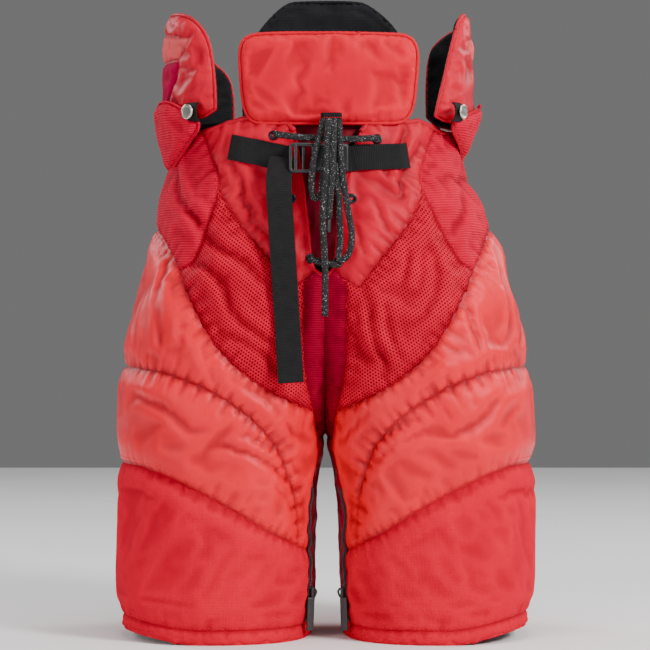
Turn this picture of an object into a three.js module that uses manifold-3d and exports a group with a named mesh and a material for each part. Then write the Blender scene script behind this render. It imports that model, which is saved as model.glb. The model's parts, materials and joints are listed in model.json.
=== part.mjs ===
// Ice hockey player's pants, in millimetres. +Z is up and the front faces -Y.
// "left" and "right" are as seen from the front: left is -X, right is +X.
//
// The outer shell is two lofted leg tubes that merge into the hips. It is hollow, and thin
// seam cutters split it into its sewn panels. Pads, belt, buckle, laces and zips are added.

import * as THREE from 'three';
import { mergeVertices } from 'three/addons/utils/BufferGeometryUtils.js';
import Module from 'manifold-3d';

const wasm = await Module();
wasm.setup();

// ---------------------------------------------------------------- driving dimensions

const SHELL = 6; // thickness of the sewn outer shell
const SEAM = 0.5; // clearance between two sewn panels
const GAP = 0.4; // clearance between a piece and the shell it lies on
const ROUNDNESS = 2.4; // superellipse power of the leg and hip sections
const SECTION_SIDES = 32;

const WAIST_Z = 510;
const HEM_Z = 14; // top of the hem band
const CROTCH_Z = 200; // below this the two legs are separate
const GUSSET_HALF = 20;
const INSEAM_Y = -40; // where the front panels meet the inner leg panel
const OUTSEAM_Y = 60; // where the front panels meet the back panel
const LEG_MIDDLE = 115;
const REACH = 220; // beyond the shell in X and Y

const WEBBING = 25; // belt webbing width
const WEBBING_THICK = 1.6;
const BELT_Z = 476;
const LACE_R = 2.6;

// One leg, right side: height, outer edge, inner edge, front and back of its section.
const LEG_SECTIONS = [
  [0, 209, 22, -112, 112],
  [HEM_Z, 209.5, 21.7, -113, 113],
  [60, 211, 20, -114, 116],
  [130, 211, 15, -116, 119],
  [180, 211, 8, -118, 122],
  [205, 210, 2, -120, 124],
  [225, 209, -6, -122, 126],
  [270, 208, -28, -125, 130],
  [330, 195, -60, -126, 132],
  [400, 179, -110, -122, 128],
  [460, 160, -140, -115, 118],
  [WAIST_Z, 148, -148, -108, 110],
];

// Seams, as [distance from the middle, height] seen from the front or from the back.
const YOKE_SEAM = [
  [131, 520], [118, 489], [108, 464], [107, 448], [98, 430], [84, 411], [63, 387], [44, 365],
  [32, 351], [11, 364], [4, 369],
];
const RIB_SEAM = [[106.5, 447], [121, 407], [135, 378], [151.5, 366]];
const THIGH_SEAM = [
  [215, 415], [178, 415], [162, 388], [151, 367], [139, 340], [114, 298.5], [93, 276], [74, 261],
  [52, 247.5], [19, 232],
];
const MID_THIGH_SEAM = [
  [220, 273], [164, 267], [144, 260.5], [122, 252], [96, 238], [75, 223.5], [60, 209], [48, 194],
  [39, 167], [34, 145], [32, 120], [32, 94],
];
const LOWER_SEAM = [
  [220, 175], [188, 174], [158, 164.5], [130, 152], [104, 139], [79, 124], [58, 110], [30, 92.5],
];
const LOWER_SEAM_INNER = [[31, 93.1], [22, 87], [5, 77]];
const SEAT_SEAM = [[132, 520], [134, 430], [122, 375], [95, 340], [-2, 335]];
const BACK_THIGH_SEAM = [[215, 415], [178, 415], [162, 388], [146, 335], [120, 302], [19, 300]];

// ---------------------------------------------------------------- materials

function material(color, roughness, metalness = 0) {
  return new THREE.MeshStandardMaterial({ color, roughness, metalness });
}

const LOOKS = {
  nylon: material(0xdb4a42, 0.35),
  mesh: material(0xc01830, 0.8),
  rib: material(0xd23440, 0.7),
  cordura: material(0xd82f38, 0.75),
  gusset: material(0xb00f2e, 0.8),
  lining: material(0x141314, 0.85),
  foam: material(0x3a3a3c, 0.9),
  webbing: material(0x222022, 0.8),
  plastic: material(0x19191b, 0.4),
  lace: material(0x1a1a1c, 0.7),
  metal: material(0xb4b0a0, 0.3, 0.9),
  zip: material(0x1c1c1e, 0.5),
};

// ---------------------------------------------------------------- solids and meshes

const group = new THREE.Group();

function toSolid(geometry) {
  const bare = geometry.clone();
  bare.deleteAttribute('normal');
  bare.deleteAttribute('uv');
  const merged = mergeVertices(bare, 1e-5);
  const mesh = new wasm.Mesh({
    numProp: 3,
    vertProperties: Float32Array.from(merged.attributes.position.array),
    triVerts: Uint32Array.from(merged.index.array),
  });
  return new wasm.Manifold(mesh);
}

function toGeometry(solid) {
  const mesh = solid.getMesh();
  const geometry = new THREE.BufferGeometry();
  const positions = Float32Array.from(mesh.vertProperties);
  geometry.setAttribute('position', new THREE.BufferAttribute(positions, 3));
  geometry.setIndex(new THREE.BufferAttribute(Uint32Array.from(mesh.triVerts), 1));
  geometry.computeVertexNormals();
  return geometry;
}

function mirrored(geometry) {
  const copy = geometry.clone();
  copy.scale(-1, 1, 1);
  const index = copy.index.array;
  for (let i = 0; i < index.length; i += 3) {
    [index[i], index[i + 1]] = [index[i + 1], index[i]];
  }
  copy.computeVertexNormals();
  return copy;
}

function addMesh(name, shape, look) {
  const geometry = shape.isBufferGeometry ? shape : toGeometry(shape);
  const mesh = new THREE.Mesh(geometry, look);
  mesh.name = name;
  group.add(mesh);
}

// Adds a right-hand piece and its mirror image on the left.
function addPair(name, shape, look) {
  const geometry = shape.isBufferGeometry ? shape : toGeometry(shape);
  addMesh(`right_${name}`, geometry, look);
  addMesh(`left_${name}`, mirrored(geometry), look);
}

function box(x0, x1, y0, y1, z0, z1) {
  const geometry = new THREE.BoxGeometry(x1 - x0, y1 - y0, z1 - z0);
  geometry.translate((x0 + x1) / 2, (y0 + y1) / 2, (z0 + z1) / 2);
  return mergedIndex(geometry);
}

function mergedIndex(geometry) {
  const bare = geometry.clone();
  bare.deleteAttribute('normal');
  bare.deleteAttribute('uv');
  return mergeVertices(bare, 1e-5);
}

// A prism over an outline given in front view, from y0 to y1.
function frontPrism(outline, y0, y1) {
  const shape = new THREE.Shape(outline.map(([x, z]) => new THREE.Vector2(x, z)));
  const geometry = new THREE.ExtrudeGeometry(shape, { depth: y1 - y0, bevelEnabled: false });
  geometry.rotateX(Math.PI / 2);
  geometry.translate(0, y1, 0);
  return mergedIndex(geometry);
}

// A prism over an outline given in side view as [y, z], from x0 to x1.
function sidePrism(outline, x0, x1) {
  const shape = new THREE.Shape(outline.map(([y, z]) => new THREE.Vector2(y, z)));
  const geometry = new THREE.ExtrudeGeometry(shape, { depth: x1 - x0, bevelEnabled: false });
  const axes = new THREE.Matrix4().makeBasis(
    new THREE.Vector3(0, 1, 0),
    new THREE.Vector3(0, 0, 1),
    new THREE.Vector3(1, 0, 0),
  );
  geometry.applyMatrix4(axes);
  geometry.translate(x0, 0, 0);
  return mergedIndex(geometry);
}

// ---------------------------------------------------------------- lofts

function roundedSection([z, outer, inner, front, back], outset) {
  const halfX = (outer - inner) / 2 + outset;
  const halfY = (back - front) / 2 + outset;
  const points = [];
  for (let i = 0; i < SECTION_SIDES; i += 1) {
    const turn = (2 * Math.PI * i) / SECTION_SIDES;
    const c = Math.cos(turn);
    const s = Math.sin(turn);
    points.push([
      (outer + inner) / 2 + halfX * Math.sign(c) * Math.abs(c) ** (2 / ROUNDNESS),
      (front + back) / 2 + halfY * Math.sign(s) * Math.abs(s) ** (2 / ROUNDNESS),
      z,
    ]);
  }
  return points;
}

function loft(sections, outset) {
  const positions = [];
  const index = [];
  const sides = SECTION_SIDES;
  for (const section of sections) {
    for (const point of roundedSection(section, outset)) {
      positions.push(...point);
    }
  }
  for (let k = 0; k + 1 < sections.length; k += 1) {
    for (let i = 0; i < sides; i += 1) {
      const a = k * sides + i;
      const b = k * sides + ((i + 1) % sides);
      index.push(a, b, b + sides, a, b + sides, a + sides);
    }
  }
  const top = (sections.length - 1) * sides;
  for (let i = 1; i + 1 < sides; i += 1) {
    index.push(0, i + 1, i, top, top + i, top + i + 1);
  }
  const geometry = new THREE.BufferGeometry();
  geometry.setAttribute('position', new THREE.Float32BufferAttribute(positions, 3));
  geometry.setIndex(index);
  return geometry;
}

// The cutting tools reach past the ends of the piece they hollow.
function stretched(sections, extra) {
  const first = [...sections[0]];
  const last = [...sections[sections.length - 1]];
  first[0] -= extra;
  last[0] += extra;
  return [first, ...sections, last];
}

function pantsBody(outset, extra = 0) {
  const sections = extra ? stretched(LEG_SECTIONS, extra) : LEG_SECTIONS;
  const right = loft(sections, outset);
  return toSolid(right).add(toSolid(mirrored(right)));
}

// A skin that follows the pants between two distances from the outer surface.
function skin(inside, outside) {
  return pantsBody(outside, 4).subtract(pantsBody(inside, 5));
}

// ---------------------------------------------------------------- seam cutters

// A thin ribbon that follows a seam, extruded along Y.
function seamCutter(seam, y0, y1) {
  const above = [];
  const below = [];
  const half = SEAM / 2;
  seam.forEach(([x, z], i) => {
    const [xa, za] = seam[Math.max(i - 1, 0)];
    const [xb, zb] = seam[Math.min(i + 1, seam.length - 1)];
    const length = Math.hypot(xb - xa, zb - za);
    const nx = (-(zb - za) / length) * half;
    const nz = ((xb - xa) / length) * half;
    above.push([x + nx, z + nz]);
    below.unshift([x - nx, z - nz]);
  });
  return frontPrism([...above, ...below], y0, y1);
}

function cutBothSides(solid, geometry) {
  return solid.subtract(toSolid(geometry)).subtract(toSolid(mirrored(geometry)));
}

function cutSeams(shell) {
  const half = SEAM / 2;
  const cutters = [
    seamCutter(YOKE_SEAM, -REACH, 0),
    seamCutter(RIB_SEAM, -REACH, 0),
    seamCutter(THIGH_SEAM, -REACH, half),
    seamCutter(MID_THIGH_SEAM, -REACH, OUTSEAM_Y + half),
    seamCutter(LOWER_SEAM, -REACH, OUTSEAM_Y + half),
    seamCutter(LOWER_SEAM_INNER, -REACH, INSEAM_Y + half),
    seamCutter(SEAT_SEAM, 0, REACH),
    seamCutter(BACK_THIGH_SEAM, -half, REACH),
    box(5, LEG_MIDDLE, INSEAM_Y - half, INSEAM_Y + half, HEM_Z, CROTCH_Z),
    box(-1, REACH, OUTSEAM_Y - half, OUTSEAM_Y + half, HEM_Z, 240),
    box(LEG_MIDDLE, REACH, OUTSEAM_Y - half, OUTSEAM_Y + half, 240, 400),
    box(GUSSET_HALF - half, GUSSET_HALF + half, -REACH, 0, CROTCH_Z, 361),
    box(GUSSET_HALF - half, GUSSET_HALF + half, 0, REACH, CROTCH_Z, 336),
    box(0, GUSSET_HALF, -REACH, REACH, CROTCH_Z - half, CROTCH_Z + half),
    box(0, REACH, -REACH, REACH, HEM_Z - half, HEM_Z + half),
  ];
  return cutters.reduce(cutBothSides, shell);
}

const FLY = [
  [-31, 530], [-31, 500], [-20, 440], [-12, 368], [8, 368], [15, 440], [36, 500], [36, 530],
];

function distanceToSeed(solid, seed) {
  const { vertProperties } = solid.getMesh();
  let nearest = Infinity;
  for (let i = 0; i < vertProperties.length; i += 3) {
    const [x, y, z] = vertProperties.subarray(i, i + 3);
    nearest = Math.min(nearest, Math.hypot(x - seed[0], y - seed[1], z - seed[2]));
  }
  return nearest;
}

// Picks the piece that owns the seed: the one whose box holds it and whose corners are nearest.
function pickPiece(pieces, seed) {
  const inBox = pieces.filter((piece) => {
    const { min, max } = piece.boundingBox();
    return seed.every((value, axis) => value >= min[axis] - 1 && value <= max[axis] + 1);
  });
  return inBox.reduce((best, piece) => (
    distanceToSeed(piece, seed) < distanceToSeed(best, seed) ? piece : best
  ));
}

function addShellPanels() {
  const shell = pantsBody(0).subtract(pantsBody(-SHELL, 5));
  const open = shell.subtract(toSolid(frontPrism(FLY, -REACH, 0)));
  const pieces = cutSeams(open).decompose();
  const sidePanels = [
    ['yoke', [70, -117, 450], LOOKS.nylon],
    ['rib_panel', [160, -50, 440], LOOKS.rib],
    ['mesh_panel', [80, -124, 330], LOOKS.mesh],
    ['upper_thigh', [180, -100, 300], LOOKS.nylon],
    ['mid_thigh', [110, -118, 200], LOOKS.nylon],
    ['lower_thigh', [110, -115, 80], LOOKS.cordura],
    ['inner_leg', [16, 0, 120], LOOKS.gusset],
    ['back_leg', [110, 120, 160], LOOKS.cordura],
    ['hem_band', [110, -112, 7], LOOKS.cordura],
  ];
  for (const [name, seed, look] of sidePanels) {
    addMesh(`right_${name}`, pickPiece(pieces, seed), look);
    addMesh(`left_${name}`, pickPiece(pieces, [-seed[0], seed[1], seed[2]]), look);
  }
  addMesh('seat_panel', pickPiece(pieces, [0, 120, 430]), LOOKS.nylon);
  addMesh('crotch_gusset', pickPiece(pieces, [0, -121, 300]), LOOKS.gusset);
}

// ---------------------------------------------------------------- inside the shell

function addFlyTongue() {
  const outline = [[-42, 504], [-34, 440], [-24, 374], [20, 374], [30, 440], [47, 504]];
  const layer = skin(-SHELL - 3.4, -SHELL - GAP);
  addMesh('fly_tongue', layer.intersect(toSolid(frontPrism(outline, -REACH, 0))), LOOKS.nylon);
}

function addWaistLiner() {
  const depth = SHELL + 4.4;
  const layer = skin(-depth - 2, -depth);
  const band = box(-REACH, REACH, -REACH, REACH, 430, WAIST_Z - 2);
  addMesh('waist_liner', layer.intersect(toSolid(band)), LOOKS.lining);
}

function addThighFoam() {
  const layer = skin(-SHELL - 8.4, -SHELL - GAP);
  const block = box(50, 190, -REACH, -60, 24, 170);
  addPair('thigh_foam', layer.intersect(toSolid(block)), LOOKS.foam);
}

// ---------------------------------------------------------------- waist pads

// A standing collar around the waist that the wings and the kidney pad are cut from.
const COLLAR = [[506, 160, -160, -110, 110], [WAIST_Z + 3, 160, -160, -110, 110],
  [560, 162, -162, -110, 110], [660, 164, -164, -110, 110]];
const PAD = 14;

function collar() {
  return toSolid(loft(COLLAR, 0)).subtract(toSolid(loft(stretched(COLLAR, 5), -PAD)));
}

function addWings() {
  const outline = [
    [-88, WAIST_Z + 3], [-86, 560], [-80, 596], [-68, 622], [-54, 628], [-30, 622], [10, 607],
    [50, 594], [78, 576], [90, 562], [92, WAIST_Z + 3],
  ];
  const wing = collar().intersect(toSolid(sidePrism(outline, 97, 200)));
  addPair('wing', wing, LOOKS.nylon);
}

function addKidneyPad() {
  const outline = [
    [-84, 512], [-86, 560], [-80, 600], [-67, 624], [-39, 652], [-24, 655], [26, 655], [42, 652],
    [74, 624], [82, 600], [86, 560], [84, 512],
  ];
  addMesh('kidney_pad', collar().intersect(toSolid(frontPrism(outline, 20, REACH))), LOOKS.lining);
}

function roundedRectangle(x0, x1, z0, z1, radius) {
  const shape = new THREE.Shape();
  shape.moveTo(x0 + radius, z0);
  shape.lineTo(x1 - radius, z0);
  shape.absarc(x1 - radius, z0 + radius, radius, -Math.PI / 2, 0);
  shape.absarc(x1 - radius, z1 - radius, radius, 0, Math.PI / 2);
  shape.absarc(x0 + radius, z1 - radius, radius, Math.PI / 2, Math.PI);
  shape.absarc(x0 + radius, z0 + radius, radius, Math.PI, Math.PI * 1.5);
  return shape;
}

function addBellyPad() {
  const bevel = 4;
  const shape = roundedRectangle(-84 + bevel, 92 - bevel, 513 + bevel, 599 - bevel, 14);
  const geometry = new THREE.ExtrudeGeometry(shape, {
    depth: 10,
    bevelThickness: bevel,
    bevelSize: bevel,
    bevelSegments: 1,
    curveSegments: 4,
  });
  geometry.rotateX(Math.PI / 2);
  geometry.translate(0, -98, 0);
  addMesh('belly_pad', mergedIndex(geometry), LOOKS.nylon);
}

function addLaceKeeper() {
  const outer = toSolid(box(-4, 16, -124, -112.4, 514, 520));
  const tunnel = toSolid(box(-1.5, 13.5, -121.5, -114.5, 500, 540));
  addMesh('lace_keeper', outer.subtract(tunnel), LOOKS.webbing);
}

// The stiff ribbed ears that flare over the hips.
function addHipFlaps() {
  const outside = [[460, 164, -164, -118, 118], [466, 166, -166, -118, 118],
    [500, 173, -173, -119, 119], [533, 172, -172, -119, 119], [540, 171, -171, -119, 119]];
  const inside = [[455, 161, -161, -115, 115], [466, 161.2, -161.2, -115, 115],
    [533, 162.5, -162.5, -111, 111], [545, 162.5, -162.5, -111, 111]];
  const outline = [
    [-94, 506], [-86, 491], [-70, 477], [-50, 468], [30, 468], [42, 480], [42, 516], [30, 531],
    [-70, 533], [-86, 531],
  ];
  const layer = toSolid(loft(outside, 0)).subtract(toSolid(loft(inside, 0)));
  const flap = layer.intersect(toSolid(sidePrism(outline, 60, 200)));
  addPair('hip_flap', flap, LOOKS.rib);
}

// Round flat-headed buttons that the suspenders clip to.
function addSuspenderButtons() {
  const profile = [[0, 0], [4, 0], [4, 2.4], [7.5, 3], [7.5, 4.6], [0, 4.6]];
  const head = new THREE.LatheGeometry(profile.map(([r, h]) => new THREE.Vector2(r, h)), 16);
  head.rotateZ(Math.PI + BUTTON_TURN);
  head.translate(...BUTTON_FOOT);
  addPair('suspender_button', mergedIndex(head), LOOKS.metal);
}

const BUTTON_TURN = THREE.MathUtils.degToRad(45); // its face looks out and forward
const BUTTON_FOOT = [139.2, -83.2, 524];

// ---------------------------------------------------------------- belt and buckle

function addBelt() {
  const layer = skin(GAP, GAP + WEBBING_THICK);
  const low = BELT_Z - WEBBING / 2;
  const high = BELT_Z + WEBBING / 2;
  const right = [[25, low], [92, low + 4], [90, high + 2], [25, high]];
  const left = [[-90, low + 4], [-36, low], [-36, high], [-88, high + 6]];
  const cut = (outline) => layer.intersect(toSolid(frontPrism(outline, -REACH, 0)));
  addMesh('belt_right', cut(right), LOOKS.webbing);
  addMesh('belt_left', cut(left), LOOKS.webbing);
}

const BUCKLE_BACK = -117;
const BUCKLE_FRONT = -127;
const BUCKLE_HALF = 14;
const TAIL_Y = -131.2; // the free end of the strap hangs clear of the buckle and the thigh
const PRONG_ROOT = -9.5;
const PLUG_RIGHT = -10;

function addBuckleSocket() {
  const shell = toSolid(
    box(-9, 23, BUCKLE_FRONT, BUCKLE_BACK, BELT_Z - BUCKLE_HALF, BELT_Z + BUCKLE_HALF),
  );
  const mouth = toSolid(box(-12, 15, BUCKLE_FRONT + 2, BUCKLE_BACK - 2, BELT_Z - 20, BELT_Z + 20));
  addMesh('buckle_socket', shell.subtract(mouth), LOOKS.plastic);
}

function addBucklePlug() {
  const low = BELT_Z - BUCKLE_HALF;
  const high = BELT_Z + BUCKLE_HALF;
  const slotLow = low + 2;
  const slotHigh = high - 2;
  const frame = toSolid(box(-34, PLUG_RIGHT, BUCKLE_FRONT, BUCKLE_BACK, low, high));
  const guide = toSolid(
    box(PLUG_RIGHT - 1, 8, BUCKLE_FRONT + 2.5, BUCKLE_BACK - 2.5, BELT_Z - 2, BELT_Z + 2),
  );
  const slots = [[-30.5, -26.5], [-22.5, -18.5]].map(([x0, x1]) => (
    toSolid(box(x0, x1, BUCKLE_FRONT - 5, BUCKLE_BACK + 5, slotLow, slotHigh))
  ));
  const plug = slots.reduce((solid, slot) => solid.subtract(slot), frame.add(guide));
  addMesh('buckle_plug', plug, LOOKS.plastic);
}

function addProngs() {
  const y0 = BUCKLE_FRONT + 2.5;
  const y1 = BUCKLE_BACK - 2.5;
  const tip = 13;
  const outline = [
    [PRONG_ROOT, BELT_Z + 6.5], [tip, BELT_Z + 7.5], [tip, BELT_Z + 10], [8, BELT_Z + 13],
    [6, BELT_Z + 13], [4, BELT_Z + 10.5], [PRONG_ROOT, BELT_Z + 10.5],
  ];
  const flipped = outline.map(([x, z]) => [x, 2 * BELT_Z - z]).reverse();
  addMesh('buckle_prong_upper', frontPrism(outline, y0, y1), LOOKS.plastic);
  addMesh('buckle_prong_lower', frontPrism(flipped, y0, y1), LOOKS.plastic);
}

function addBeltTail() {
  const length = 206;
  const tail = new THREE.BoxGeometry(WEBBING, WEBBING_THICK, length);
  tail.translate(0, 0, -length / 2);
  tail.rotateY(-THREE.MathUtils.degToRad(3.4));
  tail.translate(-46.5, TAIL_Y, 463);
  addMesh('belt_tail', mergedIndex(tail), LOOKS.webbing);
}

// ---------------------------------------------------------------- laces

function addEyelets() {
  const places = [
    ['top_left', -50.6, 499], ['top_right', 54, 496], ['middle_left', -34, 436],
    ['middle_right', 27, 436], ['lower_left', -14.6, 378], ['lower_right', 14, 374],
  ];
  for (const [name, x, z] of places) {
    const profile = [[2.2, 0], [4.8, 0], [4.8, 1.4], [2.2, 1.4], [2.2, 0]];
    const ring = new THREE.LatheGeometry(profile.map(([r, h]) => new THREE.Vector2(r, h)), 12);
    ring.rotateX(Math.PI);
    ring.translate(x, frontAt(x, z - 5) - GAP, z);
    addMesh(`eyelet_${name}`, mergedIndex(ring), LOOKS.metal);
  }
}

// Y of the front surface of the pants at a place seen from the front.
function frontAt(x, z) {
  const upper = LEG_SECTIONS.findIndex((section) => section[0] >= z);
  const a = LEG_SECTIONS[upper - 1];
  const b = LEG_SECTIONS[upper];
  const part = (z - a[0]) / (b[0] - a[0]);
  const [, outer, inner, front, back] = a.map((value, i) => value + (b[i] - value) * part);
  const across = Math.abs((Math.abs(x) - (outer + inner) / 2) / ((outer - inner) / 2));
  const depth = (1 - Math.min(across, 1) ** ROUNDNESS) ** (1 / ROUNDNESS);
  return (front + back) / 2 - ((back - front) / 2) * depth;
}

function lace(name, points, radius = LACE_R) {
  const curve = new THREE.CatmullRomCurve3(points.map((point) => new THREE.Vector3(...point)));
  const section = new THREE.Shape();
  section.absarc(0, 0, radius, 0, 2 * Math.PI);
  const steps = Math.ceil(curve.getLength() / (radius * 5));
  const geometry = new THREE.ExtrudeGeometry(section, {
    steps,
    extrudePath: curve,
    curveSegments: 4,
    bevelEnabled: false,
  });
  addMesh(name, mergedIndex(geometry), LOOKS.lace);
}

function addLaces() {
  lace('lace_top_rung', [[-50, -117.5, 500], [-25, -121, 496.5], [20, -121, 494.5], [53, -118, 496]]);
  lace('lace_bottom_rung', [[-14, -126.5, 377.5], [-2, -128.5, 374], [12, -127.5, 372]]);
  lace('lace_loop_left', [
    [0.5, -129.5, 502], [-10, -131.5, 475], [-13, -130, 450], [-9.5, -129, 437],
    [-2.5, -130, 448], [-1.4, -130.5, 466],
  ]);
  lace('lace_loop_right', [
    [7.6, -130, 502], [12.5, -132, 465], [19.5, -131.5, 430], [25.5, -131, 400],
    [21, -130.5, 381], [11.6, -129.5, 378], [14.3, -130, 398], [11.6, -130.5, 440], [6.4, -131, 468],
  ]);
  lace('lace_tail_left', [
    [2, -136, 500], [0.5, -137, 462], [-2, -136, 420], [0, -133.5, 370], [0, -131.5, 322],
  ]);
  lace('lace_tail_right', [[7.8, -136, 500], [7, -137, 465], [4.6, -136, 432], [4, -135.5, 414]]);
  const knot = new THREE.SphereGeometry(5, 10, 8);
  knot.scale(1.2, 0.9, 0.9);
  knot.translate(5, -128.7, 509.5);
  addMesh('lace_knot', mergedIndex(knot), LOOKS.lace);
}

// ---------------------------------------------------------------- inner leg zips

// Each zip runs up the inner front edge of a leg, along a line that leans with it.
const ZIP_Y = -50;
const ZIP_FOOT = [17.6, ZIP_Y, 46];
const ZIP_LEAN = -0.062;

function addZips() {
  const layer = skin(GAP, GAP + 1.2);
  const strip = box(0, 60, ZIP_Y - 6, ZIP_Y + 4, 18, 152);
  addPair('zip_tape', layer.intersect(toSolid(strip)), LOOKS.zip);
  const slider = new THREE.BoxGeometry(4, 7, 9);
  slider.rotateY(ZIP_LEAN);
  slider.translate(...ZIP_FOOT);
  addPair('zip_slider', mergedIndex(slider), LOOKS.zip);
  const pull = new THREE.BoxGeometry(1.6, 8, 34);
  pull.translate(-1.6, 0, -17);
  pull.rotateY(ZIP_LEAN);
  pull.translate(ZIP_FOOT[0] + 0.6, ZIP_FOOT[1], ZIP_FOOT[2] - 5.2);
  addPair('zip_pull', mergedIndex(pull), LOOKS.zip);
}

// ---------------------------------------------------------------- assembly

addShellPanels();
addFlyTongue();
addWaistLiner();
addThighFoam();
addWings();
addKidneyPad();
addBellyPad();
addLaceKeeper();
addHipFlaps();
addSuspenderButtons();
addBelt();
addBuckleSocket();
addBucklePlug();
addProngs();
addBeltTail();
addEyelets();
addLaces();
addZips();

export default group;
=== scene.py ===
"""Ice hockey pants: the visual model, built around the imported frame.

Left and right are as seen from the front (-Y). Sizes are millimetres in the tables and
functions that plan a shape, and metres (MM * value) once they become mesh coordinates.
"""

import json
import math

import bmesh
import bpy
import numpy as np
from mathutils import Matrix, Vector, geometry, kdtree

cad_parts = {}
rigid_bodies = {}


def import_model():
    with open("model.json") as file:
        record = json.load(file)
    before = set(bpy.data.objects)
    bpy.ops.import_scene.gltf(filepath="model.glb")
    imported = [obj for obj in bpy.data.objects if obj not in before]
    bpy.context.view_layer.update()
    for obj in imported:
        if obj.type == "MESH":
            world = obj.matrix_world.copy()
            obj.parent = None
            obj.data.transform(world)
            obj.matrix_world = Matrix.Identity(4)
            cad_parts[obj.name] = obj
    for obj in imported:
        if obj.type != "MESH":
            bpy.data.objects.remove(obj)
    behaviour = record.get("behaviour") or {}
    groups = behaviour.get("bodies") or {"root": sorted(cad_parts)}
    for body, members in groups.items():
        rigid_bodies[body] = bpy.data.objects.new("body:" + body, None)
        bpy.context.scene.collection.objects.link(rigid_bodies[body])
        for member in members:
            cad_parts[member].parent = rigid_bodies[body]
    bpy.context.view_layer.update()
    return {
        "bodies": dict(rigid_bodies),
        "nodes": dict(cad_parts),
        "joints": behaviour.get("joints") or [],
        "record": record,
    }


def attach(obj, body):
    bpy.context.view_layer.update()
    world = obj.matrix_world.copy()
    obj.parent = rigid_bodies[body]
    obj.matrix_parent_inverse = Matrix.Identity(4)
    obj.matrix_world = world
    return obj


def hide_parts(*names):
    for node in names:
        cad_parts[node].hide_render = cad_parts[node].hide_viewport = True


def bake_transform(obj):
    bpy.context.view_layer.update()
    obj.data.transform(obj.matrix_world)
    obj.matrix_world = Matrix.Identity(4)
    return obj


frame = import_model()

MM = 0.001
SIDES = {"left": -1.0, "right": 1.0}
CREASE = 44.0  # depth of the small creases in smooth cloth, in weave heights
RNG_SEED = 7
PAD_SEED = 77
FLAT_CLOTH = 0.5  # the "fold" value of cloth that is neither a ridge nor a hollow

# ------------------------------------------------------------------ driving dimensions

ROUNDNESS = 2.4
CROTCH_Z = 200.0
HEM_Z = 14.0
GUSSET_HALF = 20.0
INSEAM_Y = -40.0
OUTSEAM_Y = 60.0
PANEL_SPACING = 6.0
LINER_DEPTH = 6.5
WAIST_Z = 510.0  # top of the drawn shell at the sides

# One leg, right side: height, outer edge, inner edge, front and back of its section.
SECTIONS = np.array([
    [-10, 209, 22, -112, 112],
    [0, 209, 22, -112, 112],
    [14, 209.5, 21.7, -113, 113],
    [60, 211, 20, -114, 116],
    [130, 211, 15, -116, 119],
    [180, 211, 8, -118, 122],
    [205, 210, 2, -120, 124],
    [225, 209, -6, -122, 126],
    [270, 208, -28, -125, 130],
    [330, 195, -60, -126, 132],
    [400, 179, -110, -122, 128],
    [460, 160, -140, -115, 118],
    [510, 148, -148, -108, 110],
    [532, 145, -146, -106, 107],
    [545, 144, -145, -105, 106],
], dtype=float)

# Seams as [distance from the middle, height], seen from the front or from the back.
YOKE_SEAM = [
    (133, 534), (118, 489), (108, 464), (107, 448), (98, 430), (84, 411), (63, 387), (44, 365),
    (32, 351), (20, 358), (9, 368),
]
RIB_SEAM = [(107, 448), (121, 407), (135, 378), (151, 367)]
THIGH_SEAM = [
    (178, 415), (162, 388), (151, 367), (139, 340), (114, 298.5), (93, 276), (74, 261),
    (52, 247.5), (36, 240), (22, 233.5), (9.6, 228),
]
MID_THIGH_SEAM = [
    (209, 272), (164, 267), (144, 260.5), (122, 252), (96, 238), (75, 223.5), (60, 209), (48, 194),
    (39, 167), (34, 145), (32, 120), (32, 94),
]
LOWER_SEAM = [
    (211, 176), (188, 174), (158, 164.5), (130, 152), (104, 139), (79, 124), (58, 110), (35, 96),
    (22, 87),
]
SEAT_SEAM = [(131, 534), (134, 430), (122, 375), (95, 340), (50, 334), (0, 334)]
BACK_THIGH_SEAM = [(178, 415), (162, 388), (146, 335), (120, 302), (60, 300), (20, 300)]
FLY_EDGE = {
    "left": [(0, 362), (10, 367), (12, 372), (20, 440), (31, 500), (33, 534)],
    "right": [(0, 362), (7, 367), (9, 372), (15, 440), (36, 500), (39, 534)],
}
WAIST_EDGE = {
    "left": [(30, 504), (38, 512), (47, 518.5), (62, 521), (83, 517), (101, 513), (121, 506),
             (135, 505), (148, 507)],
    "right": [(36, 503), (46, 514), (58, 519), (88, 514), (104, 516), (120, 511), (135, 506),
              (148, 507)],
}
BACK_WAIST_Z = 507.0

# ------------------------------------------------------------------ camera

CAMERA_DISTANCE = 2.6
CAMERA_HEIGHT = 0.3136
FRAME_WIDTH = 0.663  # metres across the picture at Y = 0


def make_camera():
    data = bpy.data.cameras.new("camera")
    data.sensor_width = 36.0
    data.lens = 36.0 * CAMERA_DISTANCE / FRAME_WIDTH
    camera = bpy.data.objects.new("camera", data)
    camera.location = (0.0, -CAMERA_DISTANCE, CAMERA_HEIGHT)
    camera.rotation_euler = (math.radians(90), 0.0, 0.0)
    bpy.context.scene.collection.objects.link(camera)
    bpy.context.scene.camera = camera


make_camera()


# ------------------------------------------------------------------ small helpers

def link(obj):
    bpy.context.scene.collection.objects.link(obj)
    return obj


def mesh_object(name, points, faces, material=None):
    mesh = bpy.data.meshes.new(name)
    mesh.from_pydata([tuple(p) for p in points], [], [tuple(f) for f in faces])
    mesh.update()
    mesh.shade_smooth()
    obj = link(bpy.data.objects.new(name, mesh))
    if material is not None:
        mesh.materials.append(material)
    return obj


def read_array(items, key, width=1, dtype=float):
    """One property of every vertex, loop or polygon, as an array."""
    values = np.empty(len(items) * width, dtype=dtype)
    items.foreach_get(key, values)
    return values.reshape(-1, width) if width > 1 else values


def set_point_values(mesh, name, values):
    mesh.attributes.new(name, "FLOAT", "POINT").data.foreach_set("value", values)


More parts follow.
